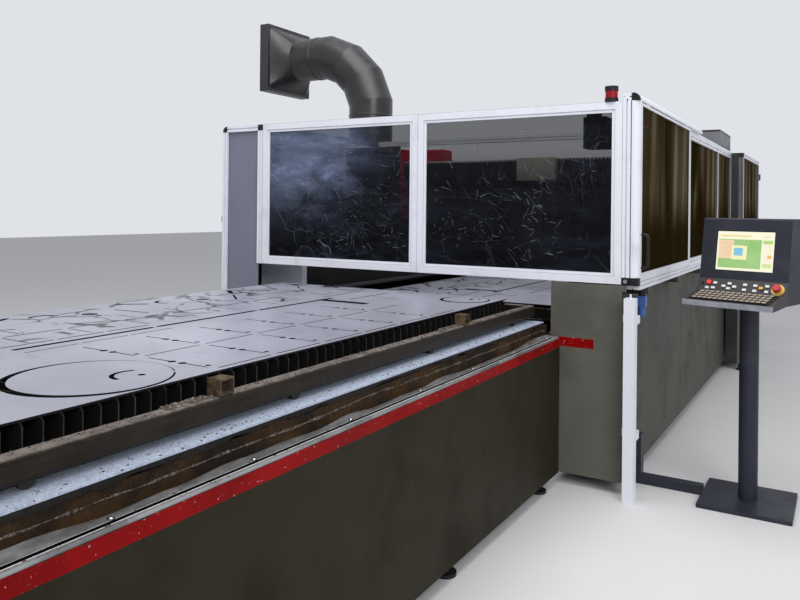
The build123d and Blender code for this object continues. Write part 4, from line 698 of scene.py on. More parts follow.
def panel_button_finish():
    """White key caps, with the black selector at one end of the panel and the yellow ring at the other."""
    white = (0.72, 0.72, 0.70)
    finish = Finish("panel_button_plastic", white, 0.4, Coat_Weight=0.3)
    along = console_axes(finish)[0]
    finish.over(finish.dirt(40.0, 0.5, 0.8) * 0.3, shaded(white, 0.55))
    finish.over(along < SELECTOR_END, (0.015, 0.015, 0.016))
    finish.over(along > RING_START, (0.66, 0.47, 0.10))
    return finish.bump(finish.noise(1200.0, 2.0), 0.15, 0.0003)


def keyboard_finish():
    """Brownish key caps with dark gaps between them."""
    finish = Finish("key_caps", (0.36, 0.30, 0.245), 0.5)
    along, depth, z = console_axes(finish)
    lift = (depth - KEY_PLACE[0]) * -KEY_SINE + (z - KEY_PLACE[1]) * KEY_COSINE
    finish.over(finish.dirt(60.0, 0.4, 0.8) * 0.6, (0.16, 0.13, 0.105))
    finish.over(lift < KEY_GAP, (0.010, 0.010, 0.011))
    return finish.bump(finish.noise(1200.0, 2.0), 0.15, 0.0003)


def console_paint():
    """Charcoal housing with a rubbed metal strip along the front edge of the keyboard deck."""
    finish = Finish("console_charcoal", (0.026, 0.028, 0.042), 0.45)
    along, depth, z = console_axes(finish)
    edge = (depth < DECK_EDGE) * (z > DECK_HEIGHTS[0]) * (z < DECK_HEIGHTS[1])
    panel = (depth < PANEL_DEPTHS[1]) * (depth > PANEL_DEPTHS[0]) * (z > PANEL_FOOT)
    grime = finish.dirt(9.0)
    fine = finish.noise(900.0, 3.0, 0.6)
    worn = finish.noise(30.0, 5.0).step(0.3, 0.7)
    finish.over(panel, (0.045, 0.043, 0.045))
    finish.over(grime * 0.25, (0.085, 0.085, 0.09))
    finish.over(fine.step(0.62, 0.72) * 0.3, (0.11, 0.11, 0.12))
    finish.over(edge, finish.mix(worn, (0.26, 0.27, 0.30), (0.36, 0.375, 0.42)))
    finish.set("Roughness", 0.42 + grime * 0.2)
    return finish.bump(fine, 0.2, 0.0004)


def screen_finish():
    """Lit screen with plain fields: a header, a green work area, panels, a square and a status column."""
    finish = Finish("screen_light", (0.96, 0.93, 0.72), 0.3, Emission_Strength=0.86)
    along, depth, z = console_axes(finish)
    across = (along - SCREEN_SPAN[0]) * (1 / (SCREEN_SPAN[1] - SCREEN_SPAN[0]))
    up = (z - SCREEN_HEIGHTS[0]) * (1 / (SCREEN_HEIGHTS[1] - SCREEN_HEIGHTS[0]))
    for *field, color in SCREEN_FIELDS:
        finish.over(within(across, up, *field), color)
    rows = (up * 16.0).alone("FRACT")
    column, names = (within(across, up, *field) * (rows < drawn) for *field, drawn in SCREEN_ROWS)
    finish.over((column + names).clip() * 0.35, (0.75, 0.45, 0.30))
    finish.over(finish.noise(14.0, 2.0).step(0.3, 0.8) * 0.12, (1.0, 1.0, 0.9))
    finish.set("Emission Color", finish.shade)
    finish.over(0.85, (0.02, 0.02, 0.02))
    return finish


def machined(name, color, roughness=0.3):
    """Machined metal with fine turning lines and oil."""
    finish = Finish(name, color, roughness, Metallic=1.0)
    oil = finish.dirt(18.0)
    finish.over(oil * 0.6, shaded(color, 0.35))
    finish.set("Roughness", roughness + oil * 0.25)
    return finish.bump(finish.noise(3.0, 3.0, 0.5, finish.stretched(200.0, 6.0, 200.0)), 0.15, 0.0005)


def banded(name, body, band_heights, span, torn=0.012):
    """Painted cover with a red band between two heights, its upper edge torn and its face scratched."""
    red = tuple(looks().band_color)
    low, high = band_heights
    finish = Finish(name, body, 0.5, Specular_IOR_Level=0.10)
    x, y, z = finish.axes()
    grime = finish.dirt(3.0, 0.4, 0.72)
    ragged = finish.noise(26.0, 5.0, 0.6) * torn
    band = (z > low) * (z < (high - ragged)) * span(x, y)
    chips = finish.noise(70.0, 4.0, 0.6).step(0.66, 0.69) * band
    scratches = finish.scratches((1.0, 1.6, 46.0), 0.70) * band
    finish.over(grime * 0.5, shaded(body, 0.45))
    finish.over(finish.noise(45.0, 6.0, 0.65).step(0.60, 0.72) * 0.3, shaded(body, 0.3))
    finish.over(band, finish.mix(finish.noise(6.0, 4.0).step(0.3, 0.75), red, shaded(red, 0.62)))
    finish.over((chips * 0.8 + scratches * 0.55).clip(), (0.46, 0.42, 0.42))
    finish.set("Roughness", 0.55 - band * 0.1 + grime * 0.15)
    return finish.bump(finish.noise(600.0, 2.0) + chips * 2.0 + band * 1.5, 0.15, 0.0006)


def cover_paint():
    """Base covers: olive grey with a red band at the right, at the left blue-grey made paler by painted
    light, the top box beige.
    """
    finish = banded("base_cover_paint", (0.135, 0.13, 0.11), COVER_BAND,
                    lambda x, y: (x > COVER_SPAN[0]) * (x < COVER_SPAN[1]) * (y < COVER_REAR), 0.004)
    x, y, z = finish.axes()
    grime = finish.dirt(4.0)
    # Painted light: the recessed left cover's blue-grey is far paler than its paint, for light the lamp does
    # not give it
    blue = finish.mix(grime * 0.4, (0.66, 0.69, 0.80), (0.36, 0.37, 0.43))
    beige = finish.mix(grime * 0.5, (0.55, 0.52, 0.44), (0.30, 0.28, 0.24))
    finish.over((x < BLUE_COVER[0]) * (z < BLUE_COVER[1]), blue)
    finish.over((x < BEIGE_BOX[0]) * (z > BEIGE_BOX[1]), beige)
    return finish


def base_paint():
    """Machine base: olive grey darkened as painted shade outside, black painted shade with soot facing the
    cutting space.
    """
    # Painted shade: this olive grey is darker than the base's paint, for the shade below the windows
    finish = Finish("base_paint", (0.062, 0.060, 0.048), 0.5)
    x, y, z = finish.axes()
    # Painted shade with soot: near black where the base faces the cutting space
    inward_shade = (x.size() < BASE_INSIDE[0]) + (z > BASE_STEP) * (x.size() < BASE_INSIDE[1])
    grime = finish.dirt(2.6)
    finish.over(grime * 0.5, (0.030, 0.028, 0.022))
    finish.over(inward_shade.clip(), finish.mix(grime, (0.010, 0.010, 0.010), (0.030, 0.028, 0.026)))
    finish.set("Roughness", 0.5 + grime * 0.2)
    return finish.bump(finish.noise(700.0, 2.0), 0.12, 0.0006)


def on_cad(finish, *nodes):
    """Put a finish on CAD pieces."""
    for name in nodes:
        mesh = cad[name].data
        mesh.materials.clear()
        mesh.materials.append(finish.material)


# Mesh helpers


def linked(name, mesh):
    """Object for a mesh, in the scene."""
    piece = bpy.data.objects.new(name, mesh)
    bpy.context.scene.collection.objects.link(piece)
    return piece


def mesh_object(name, vertices, faces, material=None, edges=(), smooth=False):
    """Mesh from points and faces; without a material it is a carrier for a tree."""
    mesh = bpy.data.meshes.new(name)
    mesh.from_pydata([tuple(v) for v in vertices], edges, faces)
    if material:
        mesh.materials.append(material)
    for polygon in mesh.polygons:
        polygon.use_smooth = smooth
    return linked(name, mesh)


def add_box(shape, low, high):
    """Box between two corners."""
    low, high = Vector(low), Vector(high)
    matrix = Matrix.Translation((low + high) / 2) @ Matrix.Diagonal((*(high - low), 1))
    bmesh.ops.create_cube(shape, size=1.0, matrix=matrix)


def ribbon(name, rows, material):
    """Smooth surface through rows of points that all have the same count."""
    count = len(rows[0])
    faces = []
    for i in range(len(rows) - 1):
        for a in range(i * count, i * count + count - 1):
            faces.append((a, a + 1, a + count + 1, a + count))
    return mesh_object(name, [point for row in rows for point in row], faces, material, smooth=True)


def flat_strip(x, y, z):
    """Corners of a level strip between two X and two Y, in the machine's own millimetres."""
    return [place(x[0], y[0], z), place(x[1], y[0], z), place(x[1], y[1], z), place(x[0], y[1], z)]


def upright_strip(x, y, z):
    """Corners of a strip that faces the front, between two X and two Z."""
    return [place(x[0], y, z[0]), place(x[1], y, z[0]), place(x[1], y, z[1]), place(x[0], y, z[1])]


def strips(*corners):
    """Carrier with one flat face for each set of four corners."""
    faces = [tuple(range(4 * i, 4 * i + 4)) for i in range(len(corners))]
    return mesh_object("strips", [point for four in corners for point in four], faces)


def rough(y, scale, seed):
    """Smooth noise along Y, from 0 to 1."""
    return 0.5 + 0.5 * noise.noise(Vector((y * scale, seed * 7.3, seed * 1.9)))


def station_rows(start, end, count):
    """Evenly spaced Y along the station, from one distance off its outer end to another off its inner end."""
    length = STATION_Y[1] - STATION_Y[0] - start - end
    return [STATION_Y[0] + start + length * i / count for i in range(count + 1)]


def seat(piece, body):
    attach(piece, body)


# Geometry Nodes


class Tree:
    """A Geometry Nodes tree while it is built, with a named input for each of its sizes."""

    KINDS = {float: "NodeSocketFloat", int: "NodeSocketInt"}

    def __init__(self, name, **sizes):
        self.group = bpy.data.node_groups.new(name, "GeometryNodeTree")
        face = self.group.interface
        face.new_socket("Geometry", in_out="INPUT", socket_type="NodeSocketGeometry")
        face.new_socket("Geometry", in_out="OUTPUT", socket_type="NodeSocketGeometry")
        for label, value in sizes.items():
            kind = self.KINDS[type(value)]
            face.new_socket(label, in_out="INPUT", socket_type=kind).default_value = value
        self.start = self.group.nodes.new("NodeGroupInput")

    def plug(self, socket, value):
        if isinstance(value, bpy.types.NodeSocket):
            self.group.links.new(value, socket)
        else:
            socket.default_value = value

    def size(self, label):
        return self.start.outputs[label]

    def add(self, kind, settings=None, output=0, **sockets):
        """Add a node: its settings, then the values or links of its sockets by name, then take one output."""
        node = self.group.nodes.new(kind)
        for label, value in (settings or {}).items():
            setattr(node, label, value)
        for label, value in sockets.items():
            self.plug(node.inputs[label.replace("_", " ")], value)
        return node.outputs[output]

    def listed(self, kind, settings, *values):
        """Add a node whose sockets are filled in their order, and take its first output in use."""
        node = self.group.nodes.new(kind)
        for label, value in settings.items():
            setattr(node, label, value)
        sockets = [socket for socket in node.inputs if socket.enabled]
        for socket, value in zip(sockets, values):
            self.plug(socket, value)
        return next(socket for socket in node.outputs if socket.enabled)

    def random(self, low, high, seed):
        kind = "FLOAT_VECTOR" if isinstance(low, tuple) else "FLOAT"
        return self.listed("FunctionNodeRandomValue", {"data_type": kind}, low, high, 0, seed)

    def times(self, first, second):
        return self.listed("ShaderNodeMath", {"operation": "MULTIPLY"}, first, second)

    def vector(self, operation, first, second):
        return self.listed("ShaderNodeVectorMath", {"operation": operation}, first, second)

    def scattered(self):
        """Points spread over the carrier's faces."""
        return self.add("GeometryNodeDistributePointsOnFaces", Mesh=self.size("Geometry"),
                        Density=self.size("Density"), Seed=self.size("Seed"))

    def tube(self, line, radius, sides, caps=False):
        """Tube of a radius along a curve."""
        ring = self.add("GeometryNodeCurvePrimitiveCircle", Resolution=sides, Radius=1.0)
        sized = self.add("GeometryNodeSetCurveRadius", Curve=line, Radius=radius)
        tube = self.add("GeometryNodeCurveToMesh", Curve=sized, Profile_Curve=ring, Fill_Caps=caps)
        if "Scale" in tube.node.inputs:
            self.plug(tube.node.inputs["Scale"], radius)
        return tube

    def finish(self, geometry, material):
        """End the tree: instances made real, then the material."""
        real = self.add("GeometryNodeRealizeInstances", Geometry=geometry)
        dressed = self.add("GeometryNodeSetMaterial", Geometry=real, Material=material)
        end = self.group.nodes.new("NodeGroupOutput")
        self.plug(end.inputs[0], dressed)
        return self


def grow(name, carrier, tree, **sizes):
    """Run a tree on a carrier mesh and keep the result as a plain mesh at the origin."""
    modifier = carrier.modifiers.new("grow", "NODES")
    modifier.node_group = tree.group
    for item in tree.group.interface.items_tree:
        if item.name in sizes:
            modifier[item.identifier] = sizes[item.name]
    depsgraph = bpy.context.evaluated_depsgraph_get()
    mesh = bpy.data.meshes.new_from_object(carrier.evaluated_get(depsgraph))
    carrier.modifiers.remove(modifier)
    bpy.data.objects.remove(carrier)
    mesh.name = name
    return linked(name, mesh)


def crumb_tree(material):
    """Crumbs of slag scattered over the faces of the carrier."""
    tree = Tree("crumbs", Density=2000.0, Largest=0.004, Seed=1)
    crumb = tree.add("GeometryNodeMeshIcoSphere", Radius=1.0, Subdivisions=1)
    spread = tree.random(0.12, 1.0, tree.size("Seed"))
    radius = tree.times(tree.times(tree.times(spread, spread), spread), tree.size("Largest"))
    scale = tree.vector("SCALE", tree.add("ShaderNodeCombineXYZ", X=1.0, Y=1.25, Z=0.6), radius)
    turned = tree.random((-0.6, -0.6, 0.0), (0.6, 0.6, 6.28), tree.size("Seed"))
    crumbs = tree.add("GeometryNodeInstanceOnPoints", Points=tree.scattered(), Instance=crumb,
                      Rotation=turned, Scale=scale)
    return tree.finish(crumbs, material)


def bead_tree(material):
    """Uneven bead of slag along the carrier's edges."""
    tree = Tree("bead", Thick=0.006, Wander=0.012, Seed=1)
    line = tree.add("GeometryNodeMeshToCurve", Mesh=tree.size("Geometry"))
    where = tree.add("GeometryNodeInputPosition")
    slow = tree.add("ShaderNodeTexNoise", output="Color", Vector=where, Scale=2.6, Detail=2.0)
    upright = tree.vector("MULTIPLY", tree.vector("SUBTRACT", slow, (0.5, 0.5, 0.5)), (0.0, 0.0, 4.0))
    shift = tree.vector("SCALE", upright, tree.size("Wander"))
    moved = tree.add("GeometryNodeSetPosition", Geometry=line, Offset=shift)
    fast = tree.add("ShaderNodeTexNoise", output="Fac", Vector=where, Scale=17.0, Detail=4.0)
    swell = tree.add("ShaderNodeMapRange", Value=fast, From_Min=0.38, From_Max=0.68, To_Min=0.12,
                     To_Max=1.0)
    radius = tree.times(swell, tree.size("Thick"))
    return tree.finish(tree.tube(moved, radius, 6, True), material)


def hairline_tree(material):
    """Thin bent scratches scattered over the faces of the carrier, each lying in its face."""
    tree = Tree("hairlines", Density=60.0, Thick=0.0004, Longest=1.6, Seed=1)
    arc = tree.add("GeometryNodeCurveArc", Resolution=9, Radius=SCRATCH_RADIUS, Sweep_Angle=0.42)
    arc = tree.add("GeometryNodeTransform", Geometry=arc, Translation=(-SCRATCH_RADIUS, 0.0, 0.0))
    turned = tree.random((1.5708, -1.9, 0.0), (1.5708, 2.6, 0.0), 5)
    spread = tree.random(0.25, 1.0, tree.size("Seed"))
    scale = tree.times(tree.times(spread, spread), tree.size("Longest"))
    arcs = tree.add("GeometryNodeInstanceOnPoints", Points=tree.scattered(), Instance=arc, Rotation=turned,
                    Scale=scale)
    lines = tree.add("GeometryNodeRealizeInstances", Geometry=arcs)
    return tree.finish(tree.tube(lines, tree.size("Thick"), 3), material)


def screw_tree(material):
    """Pan-head screws at the carrier's points, their heads up."""
    tree = Tree("screws", Head=0.006, Height=0.0035)
    head, height = tree.size("Head"), tree.size("Height")
    cap = tree.add("GeometryNodeMeshCone", Vertices=20, Radius_Top=tree.times(head, 0.72), Radius_Bottom=head,
                   Depth=height)
    washer = tree.add("GeometryNodeMeshCylinder", Vertices=20, Radius=tree.times(head, 1.5),
                      Depth=tree.times(height, 0.3))
    both = tree.add("GeometryNodeJoinGeometry", Geometry=cap)
    tree.plug(both.node.inputs[0], washer)
    points = tree.add("GeometryNodeMeshToPoints", Mesh=tree.size("Geometry"))
    return tree.finish(tree.add("GeometryNodeInstanceOnPoints", Points=points, Instance=both), material)


# What a user would change


class MachineLooks(bpy.types.PropertyGroup):
    """Colours and sizes of the machine's finish."""

    frame_color: bpy.props.FloatVectorProperty(
        name="Frame colour", description="Colour of the white profiles", subtype="COLOR",
        default=(0.84, 0.85, 0.92))
    band_color: bpy.props.FloatVectorProperty(
        name="Band colour", description="Colour of the band along the station", subtype="COLOR",
        default=(0.27, 0.0006, 0.0012))
    skirt_color: bpy.props.FloatVectorProperty(
        name="Skirt colour", description="Colour of the station's skirts", subtype="COLOR",
        default=(0.026, 0.022, 0.013))
    crumb_size: bpy.props.FloatProperty(
        name="Slag size", description="Radius of the largest slag crumbs", subtype="DISTANCE", unit="LENGTH",
        default=0.004)
    crumb_count: bpy.props.IntProperty(
        name="Slag crumbs", description="Crumbs of slag along each strip", default=900)
    lamp_power: bpy.props.FloatProperty(
        name="Lamp power", description="Power of the soft lamp over the machine", default=250.0)
    room_light: bpy.props.FloatProperty(
        name="Room light", description="Strength of the light that comes from all sides", default=0.46)


def looks():
    return bpy.context.scene.laser_cutter


class LASERCUTTER_OT_enclosure(bpy.types.Operator):
    """Finish the white profiles, black joints, sheet panels and panes of the enclosure"""

    bl_idname = "laser_cutter.enclosure"
    bl_label = "Enclosure"

    def execute(self, context):
        on_cad(white_anodised(), "front_window_frames", "front_posts", "top_rails", "right_wall_frame",
               "rear_frame", "sensor_column")
        on_cad(white_anodised(True), "side_door_frame")
        on_cad(black_plastic(), "corner_caps", "work_light", "regulator_knob")
        on_cad(panel_paint(), "sheet_panels", "service_door_left", "service_door_right")
        on_cad(box_paint(), "junction_box")
        on_cad(machined("zinc_bolt", (0.5, 0.5, 0.5)), "bracket_bolts")
        on_cad(front_glass(), "front_windows")
        on_cad(side_glass(), "side_panes", "side_door_pane")
        self.add_gaskets()
        self.add_hairlines()
        return {"FINISHED"}

    def add_hairlines(self):
        """Scratches in the front panes, thickest in the lower middle of each."""
        scratch = hairline_finish().material
        for name, wide, middle in SCRATCH_SPANS:
            for label, span, heights, density, longest, seed in (
                    ("pane_scratches_", wide, SCRATCH_HEIGHTS, 88.0, 1.4, 7),
                    ("pane_wipe_marks_", middle, WIPE_HEIGHTS, 380.0, 1.0, 13)):
                carrier = strips(upright_strip(span, PANE_DEPTH, heights))
                piece = grow(label + name, carrier, hairline_tree(scratch), Density=density, Longest=longest,
                             Thick=SCRATCH_THICK, Seed=seed)
                seat(piece, "machine")

    def add_gaskets(self):
        """Black rubber lines between each front pane and its frame."""
        rubber = black_plastic()
        shape = bmesh.new()
        low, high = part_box("front_windows")
        middle = (low.x + high.x) / 2
        bead = low.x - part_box("front_window_frames")[0].x
        front = low.y - GASKET_PROUD
        for left, right in ((low.x, middle - bead), (middle + bead, high.x)):
            for foot, top in ((low.z, low.z + GASKET), (high.z - GASKET, high.z)):
                add_box(shape, (left, front, foot), (right, low.y, top))
            for side in (left, right - GASKET):
                add_box(shape, (side, front, low.z + GASKET), (side + GASKET, low.y, high.z - GASKET))
        bmesh.ops.recalc_face_normals(shape, faces=shape.faces)
        mesh = bpy.data.meshes.new("window_gaskets")
        shape.to_mesh(mesh)
        shape.free()
        mesh.materials.append(rubber.material)
        seat(linked("window_gaskets", mesh), "machine")


class LASERCUTTER_OT_station(bpy.types.Operator):
    """Finish the load station: skirts with the red band, aluminium edge, running strips, tray and feet"""

    bl_idname = "laser_cutter.station"
    bl_label = "Load station"

    def execute(self, context):
        on_cad(banded("station_skirt_paint", tuple(looks().skirt_color), SKIRT_BAND,
                      lambda x, y: x.size() > SKIRT_START), "station_skirts")
        on_cad(cover_paint(), "base_covers")
        on_cad(base_paint(), "machine_base")
        on_cad(painted("frame_paint", (0.05, 0.05, 0.055), 0.5), "station_frame", "laser_stand")
        on_cad(bare_aluminium(), "station_top_profiles")
        on_cad(galvanised(), "pallet_tracks")
        on_cad(rusty_steel("tray_scale", (0.009, 0.0045, 0.0015), (0.088, 0.042, 0.010), (0.13, 0.10, 0.08)),
               "dross_tray")
        on_cad(black_plastic(), "levelling_feet")
        slag = slag_finish().material
        for side, name in SIDES:
            self.add_drift(side, name)
            self.add_torn_edge(side, name)
            self.add_bead(side, name, slag)
            self.add_crumbs(side, name, slag)
        self.add_screws()
        return {"FINISHED"}

    def add_drift(self, side, name):
        """Grey cutting dust that lies between the edge profile and the tray's wall."""
        rows = []
        for y in station_rows(12, 28, 420):
            reach = max(0.0, rough(y, 0.0042, 3 + side) * 1.7 - 0.55)
            fine = rough(y, 0.03, 9) * 3.0
            section = ((TRAY_WALL + 0.6, 0.8 + 24.0 * reach + fine * reach),
                       (TRAY_WALL + 10.0, 0.8 + 9.0 * reach + fine * 0.5),
                       (TRAY_WALL + 20.0, 0.5 + 2.4 * reach),
                       (TRAY_WALL + 25.5, 0.2))
            rows.append([place(side * x, y, PROFILE_TOP + height) for x, height in section])
        seat(ribbon("dust_drift_" + name, rows, drift_finish().material), "machine")

    def add_torn_edge(self, side, name):
        """Scale torn into waves under the running strip's outer edge."""
        scale = rusty_steel("torn_scale", (0.008, 0.007, 0.007), (0.020, 0.014, 0.011), (0.06, 0.05, 0.05),
                            0.2)
        rows = []
        top = TRACK_TOP - 5.0
        for y in station_rows(62, 133, 640):
            drop = 3.0 + 21.0 * rough(y, 0.011, 5 + side) ** 1.7 + 6.0 * rough(y, 0.05, 15)
            lean = 3.0 * rough(y, 0.01, 8)
            section = ((0.3, 0.0), (1.2 + lean * 0.5, drop * 0.55), (lean, drop))
            rows.append([place(side * (STRIP_EDGE + out), y, top - fall) for out, fall in section])
        seat(ribbon("torn_edge_" + name, rows, scale.material), "machine")

    def add_bead(self, side, name, slag):
        """Pale bead of spatter along the tray's wall."""
        vertices = [place(side * TRAY_WALL, y, BEAD_HEIGHT) for y in station_rows(60, 60, 900)]
        edges = [(i, i + 1) for i in range(len(vertices) - 1)]
        carrier = mesh_object("bead_line", vertices, [], edges=edges)
        piece = grow("slag_bead_" + name, carrier, bead_tree(slag), Thick=0.0075, Wander=0.008, Seed=3)
        seat(piece, "machine")

    def add_crumbs(self, side, name, slag):
        """Crumbs on the running strip, the edge profile and the tray's floor."""
        y = (STATION_Y[0] + 80, STATION_Y[1] - 140)
        ledges = strips(*(flat_strip((side * near, side * far), y, height + 0.3)
                          for near, far, height in LEDGES))
        piece = grow("slag_crumbs_" + name, ledges, crumb_tree(slag), Density=looks().crumb_count / 0.22,
                     Largest=looks().crumb_size, Seed=21 + side)
        seat(piece, "machine")
        floor = strips(flat_strip((side * FLOOR_SPAN[0], side * FLOOR_SPAN[1]), y, TRAY_FLOOR + 1))
        piece = grow("tray_scrap_" + name, floor, crumb_tree(slag), Density=450.0, Largest=0.014,
                     Seed=31 + side)
        seat(piece, "machine")

    def add_screws(self):
        """Screws that hold the edge profiles down."""
        zinc = machined("screw_zinc", (0.60, 0.60, 0.60), 0.25)
        spots = [place(side * SCREW_X, y, PROFILE_TOP + 2.0)
                 for side, name in SIDES for y in station_rows(100, 100, SCREW_COUNT - 1)]
        carrier = mesh_object("screw_points", spots, [])
        seat(grow("profile_screws", carrier, screw_tree(zinc.material)), "machine")


class LASERCUTTER_OT_pallets(bpy.types.Operator):
    """Finish both pallets with their slats, rollers and cut sheets"""

    bl_idname = "laser_cutter.pallets"
    bl_label = "Pallets"

    def execute(self, context):
        on_cad(pallet_beam(), "upper_pallet_frame", "lower_pallet_frame")
        on_cad(slat_steel(), "upper_pallet_slats", "lower_pallet_slats")
        on_cad(sheet_steel(), "upper_cut_sheet", "lower_cut_sheet")
        on_cad(painted("roller_steel", (0.020, 0.018, 0.016), 0.5), "upper_pallet_rollers",
               "lower_pallet_rollers")
        on_cad(machined("rail_steel", (0.30, 0.30, 0.31)), "gantry_rails")
        self.add_pallet_crumbs()
        return {"FINISHED"}

    def add_pallet_crumbs(self):
        """Slag on the pallet's side beams: a thin scatter, thicker beside the stops."""
        slag = slag_finish().material
        low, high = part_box("upper_pallet_frame")
        ends = ((low.y - WINDOW_Y) * 1000 + 20, (high.y - WINDOW_Y) * 1000 - 20)
        for side, name in SIDES:
            beam = strips(flat_strip((side * BEAM_SPAN[0], side * BEAM_SPAN[1]), ends, BEAM_TOP + 0.2))
            seat(grow("beam_crumbs_" + name, beam, crumb_tree(slag), Density=11000.0, Largest=0.0042,
                      Seed=41 + side), "upper_pallet")
        heap = strips(*(flat_strip(HEAP_SPAN, (y - 190, y - 30), BEAM_TOP + 0.5) for y in STOP_Y))
        piece = grow("stop_heaps", heap, crumb_tree(slag), Density=60000.0, Largest=0.007, Seed=51)
        seat(piece, "upper_pallet")


class LASERCUTTER_OT_gantry(bpy.types.Operator):
    """Finish the gantry, its bellows, the carriage, the cutting head and the laser source"""

    bl_idname = "laser_cutter.gantry"
    bl_label = "Gantry and laser"

    def execute(self, context):
        on_cad(painted("gantry_paint", (0.030, 0.029, 0.028), 0.5), "bridge")
        on_cad(painted("carriage_grey", (0.15, 0.15, 0.145), 0.45), "carriage", "head_slide")
        on_cad(painted("drive_red", (0.50, 0.010, 0.030)), "bridge_drive_housing")
        on_cad(painted("cover_beige", (0.62, 0.60, 0.50), 0.45), "carriage_cover")
        on_cad(painted("laser_grey", (0.045, 0.045, 0.043), 0.5), "laser_source")
        on_cad(bellows_cloth(), "bellows_left", "bellows_right")
        on_cad(machined("head_metal", (0.62, 0.62, 0.64)), "cutting_head")
        on_cad(machined("nozzle_copper", (0.65, 0.32, 0.18)), "nozzle")
        return {"FINISHED"}


class LASERCUTTER_OT_exhaust(bpy.types.Operator):
    """Finish the exhaust duct, its plenum and wall box"""

    bl_idname = "laser_cutter.exhaust"
    bl_label = "Exhaust"

    def execute(self, context):
        on_cad(duct_metal(), "exhaust_plenum", "exhaust_duct", "exhaust_wall_box")
        return {"FINISHED"}


class LASERCUTTER_OT_fittings(bpy.types.Operator):
    """Finish the beacon and the regulator"""

    bl_idname = "laser_cutter.fittings"
    bl_label = "Beacon and regulator"

    def execute(self, context):
        on_cad(black_plastic(), "beacon_body")
        on_cad(glowing("beacon_red", (0.30, 0.008, 0.015), 0.15), "beacon_lens")
        on_cad(moulded("regulator_blue", (0.05, 0.12, 0.35)), "regulator_body")
        return {"FINISHED"}


class LASERCUTTER_OT_console(bpy.types.Operator):
    """Finish the console, its screen, keys and buttons"""

    bl_idname = "laser_cutter.console"
    bl_label = "Console"

    def execute(self, context):
        on_cad(console_paint(), "console_housing", "console_pedestal")
        on_cad(screen_finish(), "console_screen")
        on_cad(keyboard_finish(), "console_keyboard")
        on_cad(panel_button_finish(), "panel_buttons")
        on_cad(glowing("button_red_lit", (0.75, 0.02, 0.02), 1.0), "start_button")
        on_cad(moulded("button_stop_red", (0.45, 0.008, 0.012)), "stop_button")
        on_cad(moulded("button_yellow", (0.80, 0.42, 0.02)), "reset_button")
        return {"FINISHED"}


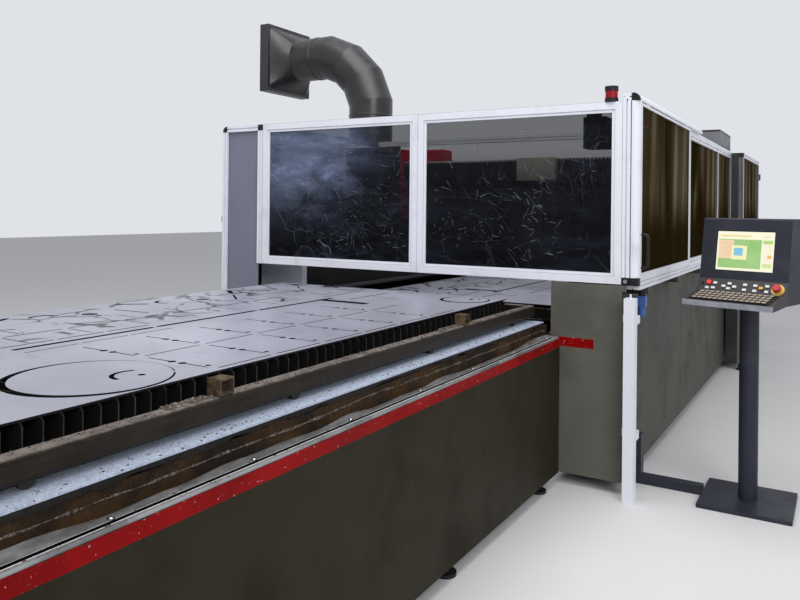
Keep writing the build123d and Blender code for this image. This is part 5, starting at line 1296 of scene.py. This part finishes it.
class LASERCUTTER_OT_stage(bpy.types.Operator):
    """Floor, soft lamps and the camera of the photograph"""

    bl_idname = "laser_cutter.stage"
    bl_label = "Stage"

    def execute(self, context):
        scene = context.scene
        scene.view_settings.view_transform = "Standard"
        floor = Finish("pale_floor", (0.70, 0.70, 0.70), 0.8)
        floor.over(floor.noise(3.0, 4.0), (0.74, 0.74, 0.74))
        half = 30.0
        corners = [(-half, -half, 0), (half, -half, 0), (half, half, 0), (-half, half, 0)]
        mesh_object("floor", corners, [(0, 1, 2, 3)], floor.material)
        self.add_world(scene)
        lamps = (("over", (0.5, -1.5, 6.0), (0.0, 0.0, 0.0), 5.0, looks().lamp_power),
                 ("side", (8.5, -8.5, 6.5), (0.0, 0.0, 1.2), 6.0, looks().lamp_power * 2.2))
        for name, spot, aim, width, power in lamps:
            light = bpy.data.lights.new(name, "AREA")
            light.energy = power
            light.size = width
            lamp = linked(name, light)
            lamp.location = spot
            lamp.rotation_euler = (Vector(aim) - Vector(spot)).to_track_quat("-Z", "Y").to_euler()
        self.add_camera(scene)
        return {"FINISHED"}

    def add_world(self, scene):
        """Pale room: dimmer as a lamp than as what the camera, metal and glass see."""
        world = bpy.data.worlds.new("room_light")
        scene.world = world
        world.use_nodes = True
        nodes, links = world.node_tree.nodes, world.node_tree.links
        background = nodes["Background"]
        background.inputs["Color"].default_value = (0.93, 0.95, 1.0, 1)
        path = nodes.new("ShaderNodeLightPath")
        strength = nodes.new("ShaderNodeMapRange")
        strength.inputs["To Min"].default_value = looks().room_light
        strength.inputs["To Max"].default_value = 0.80
        seen = path.outputs["Is Camera Ray"]
        for kind in ("Is Glossy Ray", "Is Transmission Ray"):
            total = nodes.new("ShaderNodeMath")
            total.operation = "ADD"
            links.new(seen, total.inputs[0])
            links.new(path.outputs[kind], total.inputs[1])
            seen = total.outputs[0]
        links.new(seen, strength.inputs["Value"])
        links.new(strength.outputs[0], background.inputs["Strength"])

    def add_camera(self, scene):
        data = bpy.data.cameras.new("photograph_view")
        data.sensor_width = 36.0
        data.lens = CAMERA_LENS
        data.shift_y = CAMERA_SHIFT
        camera = linked("photograph_view", data)
        turn = Matrix.Rotation(math.radians(CAMERA_TURN), 4, "Z") @ Matrix.Rotation(math.radians(90), 4, "X")
        roll = Matrix.Rotation(math.radians(CAMERA_ROLL), 4, "Z")
        camera.matrix_world = Matrix.Translation(place(*CAMERA_PLACE)) @ turn @ roll
        scene.camera = camera


class LASERCUTTER_PT_panel(bpy.types.Panel):
    """Lists the steps that dress the machine"""

    bl_label = "Laser cutter"
    bl_idname = "LASERCUTTER_PT_panel"
    bl_space_type = "VIEW_3D"
    bl_region_type = "UI"
    bl_category = "Laser cutter"

    def draw(self, context):
        for label in MachineLooks.__annotations__:
            self.layout.prop(context.scene.laser_cutter, label)
        for operator in STEPS:
            self.layout.operator(operator.bl_idname)


STEPS = (
    LASERCUTTER_OT_enclosure,
    LASERCUTTER_OT_station,
    LASERCUTTER_OT_pallets,
    LASERCUTTER_OT_gantry,
    LASERCUTTER_OT_exhaust,
    LASERCUTTER_OT_fittings,
    LASERCUTTER_OT_console,
    LASERCUTTER_OT_stage,
)


def register():
    bpy.utils.register_class(MachineLooks)
    for operator in STEPS:
        bpy.utils.register_class(operator)
    bpy.utils.register_class(LASERCUTTER_PT_panel)
    bpy.types.Scene.laser_cutter = bpy.props.PointerProperty(type=MachineLooks)


def unregister():
    del bpy.types.Scene.laser_cutter
    bpy.utils.unregister_class(LASERCUTTER_PT_panel)
    for operator in reversed(STEPS):
        bpy.utils.unregister_class(operator)
    bpy.utils.unregister_class(MachineLooks)


def main():
    register()
    for operator in STEPS:
        group, step = operator.bl_idname.split(".")
        getattr(getattr(bpy.ops, group), step)()


if __name__ == "__main__":
    main()
